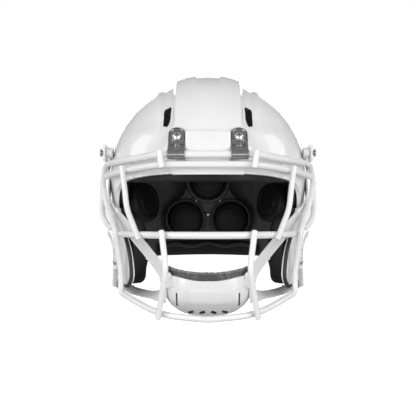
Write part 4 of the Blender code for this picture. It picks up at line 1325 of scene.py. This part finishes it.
def buildLiner():
    front = wallPlace(padForms["front"])
    buildPad("frontPad", padForms["front"], front, "vinylBlack", ["front_pad"], frontSeams)
    addPiping("frontPadPiping", [front(u, -0.0188, 0.0112) for u in range(-46, 47, 2)], pipingRadius["front"])
    addStitches("frontPadStitches", [front(u, -0.0168, 0.0127) for u in range(-30, 31, 2)], 0.0012)
    buildPad("crownPad", padForms["crown"], crownPlace, "vinylBlack", ["crown_pad"], crownCells)
    nape = wallPlace(padForms["nape"])
    buildPad("napePad", padForms["nape"], nape, "meshBlack", ["nape_pad"])
    for index, rise in enumerate((0.0052, 0.0028)):
        wave = [nape(u / 2, rise + 0.0021 * math.cos(math.radians(u / 2 * 12)), 0.0119 - abs(u) / 2 * 0.00003)
                for u in range(-76, 77)]
        addPiping("napeWave" + str(index), wave, pipingRadius["nape"])
    for sideName, side in sides:
        for kind, detail in (("side", sideRing), ("temple", templeChevrons), ("jaw", jawSeams)):
            form = padForms[kind]
            place = wallPlace(form, side)
            buildPad(kind + "Pad_" + sideName, form, place, "vinylBlack", [kind + "_pad_" + sideName], detail)
            if kind in pipedPads:
                reach, depth, finish = pipedPads[kind]
                addPiping(kind + "PadPiping_" + sideName, padOutline(form, place, reach, depth),
                          pipingRadius[kind], finish)


buildLiner()
print("liner pads laid")


# the rear pads: domed cushions in notched rings on one backing plate

rearForm = {"plane": 0.11, "plate": 0.006, "notches": 16, "lobes": 0.012, "reach": 0.0528,
            "fasteners": ((-0.0188, 0.0111), (0.0188, 0.0111), (0, -0.0096))}
rearPads = {"top": (0, 0.0404, 0.0335, 0.0264), "left": (0.0337, -0.016, 0.0305, 0.0254),
            "right": (-0.0337, -0.016, 0.0305, 0.0254)}  # x, z, ring radius and cushion radius


def buildRearPads():
    plane = rearForm["plane"]
    outline = []
    for step in range(120):
        angle = math.tau * step / 120
        reach = rearForm["reach"] + rearForm["lobes"] * math.cos(3 * (angle - math.pi / 2))
        outline.append((reach * math.cos(angle), 0.003 + reach * math.sin(angle)))
    bm = bmesh.new()
    prism(bm, outline, "Y", plane + 0.0001, plane + rearForm["plate"] - 0.0001)
    plate = addPiece("rearBacking", bm, "frameBlack", "helmet", stands=["rear_backing"])
    roundEdges(plate, 0.0009)
    for name, (x, z, ring, cushion) in rearPads.items():
        place = Vector((x, plane - 0.0006, z))
        profile = roundedProfile(((ring - 0.0012, 0), (ring, 0.0008), (ring, 0.0062), (ring - 0.0016, 0.0075),
                                  (cushion + 0.0022, 0.0075), (cushion + 0.0009, 0.006), (cushion + 0.0009, 0)),
                                 0.0008, 3)
        bm = bmesh.new()
        turnedProfile(bm, profile + [profile[0]], place, (0, -1, 0), 96)
        for vert in bm.verts:  # shallow notches round the rim
            around = math.atan2(vert.co.z - z, vert.co.x - x)
            tooth = smoothStep(0.72, 0.9, math.cos(around * rearForm["notches"]))
            high = smoothStep(0.004, 0.0072, plane - vert.co.y)
            out = math.hypot(vert.co.x - x, vert.co.z - z)
            vert.co.y += 0.0014 * tooth * high * smoothStep(ring - 0.0035, ring - 0.001, out)
        addTurned("rearRing_" + name, bm, "frameBlack", ["rear_ring_" + name])
        dome = [(cushion * share, height) for share, height in
                ((0, 0.014), (0.3, 0.0137), (0.55, 0.0129), (0.74, 0.0114), (0.87, 0.0092), (0.95, 0.0067),
                 (0.99, 0.004), (1, 0.002), (0.985, 0), (0.9, 0))]
        smooth = [(max(0, point.x), point.z) for point in throughPoints([(r, 0, h) for r, h in dome], 4)]
        bm = bmesh.new()
        turnedProfile(bm, smooth, place, (0, -1, 0), 72)
        for vert in bm.verts:  # a moulded step in the cushion and the foam's slight unevenness
            out = math.hypot(vert.co.x - x, vert.co.z - z) / cushion
            high = smoothStep(0.003, 0.009, plane - vert.co.y)
            vert.co.y += high * (0.0007 * bump(out, 0.74, 0.05) + 0.0004 * noise.noise(vert.co * 60))
        addTurned("rearCushion_" + name, bm, "vinylBlack", ["rear_pad_" + name])
    bm = bmesh.new()
    for x, z in rearForm["fasteners"]:
        profile = roundedProfile(((0.0031, 0), (0.0031, 0.0012), (0.0022, 0.0019), (0, 0.0021)), 0.0005)
        turnedProfile(bm, profile[::-1], Vector((x, plane, z)), (0, -1, 0), 24)
    addTurned("rearFasteners", bm, "steel")


buildRearPads()
print("rear pads seated")


# the stage

stageForm = {
    "floorZ": -0.34,
    "floorRadius": 4.0,
    "floorGlow": 0.8,
    "fill": 0.34,
    "eye": (0, -0.70, 0),
    "lens": 46.73,
    "sensor": 36,
}
lamps = (  # name, place, target, width, height, power
    ("frontSoft", (1.0, -1.15, 0.22), (0, 0, 0), 0.9, 1.3, 12.6),
    ("frontSoft", (-1.0, -1.15, 0.22), (0, 0, 0), 0.9, 1.3, 12.6),
    ("sideSoft", (1.3, 0.1, 0.35), (0, 0, 0.02), 0.5, 1.2, 2.5),
    ("sideSoft", (-1.3, 0.1, 0.35), (0, 0, 0.02), 0.5, 1.2, 2.5),
    ("backSoft", (0, 1.5, 0.7), (0, 0, 0), 1.4, 0.8, 6),
    ("lowSoft", (0, -1.2, -0.2), (0, 0, -0.05), 0.9, 0.4, 1.3),
)


def areaLight(name, place, target, width, height, power):
    light = bpy.data.lights.new(name, "AREA")
    light.shape = "RECTANGLE"
    light.size, light.size_y, light.energy = width, height, power
    made = placed(name, light)
    made.location = place
    made.rotation_euler = (Vector(target) - Vector(place)).to_track_quat("-Z", "Y").to_euler()


def buildStage():
    bm = bmesh.new()
    bmesh.ops.create_circle(bm, cap_ends=True, radius=stageForm["floorRadius"], segments=96,
                            matrix=Matrix.Translation((0, 0, stageForm["floorZ"])))
    floorMaterial, tree, shader = newMaterial("floorWhite", 0.7)
    surface = placeGroup(tree, "mouldedSurface", Grain_Size=0.01, Wave_Size=0.3, Wave_Share=0.5)
    tree.links.new(colourBetween(tree, surface.outputs["Clouds"], grey(0.9), grey(0.88)),
                   shader.inputs["Base Color"])
    shader.inputs["Emission Color"].default_value = (1, 1, 1, 1)
    shader.inputs["Emission Strength"].default_value = stageForm["floorGlow"]
    floor = placed("floor", meshFrom("floor", bm))
    floor.data.materials.append(floorMaterial)
    floor.visible_diffuse = False
    floor.visible_glossy = False

    world = bpy.data.worlds.new("studio")
    world.use_nodes = True
    tree = world.node_tree
    background = tree.nodes["Background"]
    background.inputs["Color"].default_value = (1, 1, 1, 1)
    seen = tree.nodes.new("ShaderNodeLightPath").outputs["Is Camera Ray"]
    tree.links.new(valueBetween(tree, seen, stageForm["fill"], 1, 0, 1), background.inputs["Strength"])
    bpy.context.scene.world = world

    for lamp in lamps:
        areaLight(*lamp)

    camera = bpy.data.cameras.new("camera")
    camera.lens, camera.sensor_width = stageForm["lens"], stageForm["sensor"]
    eye = placed("camera", camera)
    eye.location = stageForm["eye"]
    eye.rotation_euler = (math.radians(90), 0, 0)
    bpy.context.scene.camera = eye
    bpy.context.scene.view_settings.view_transform = "Standard"


buildStage()
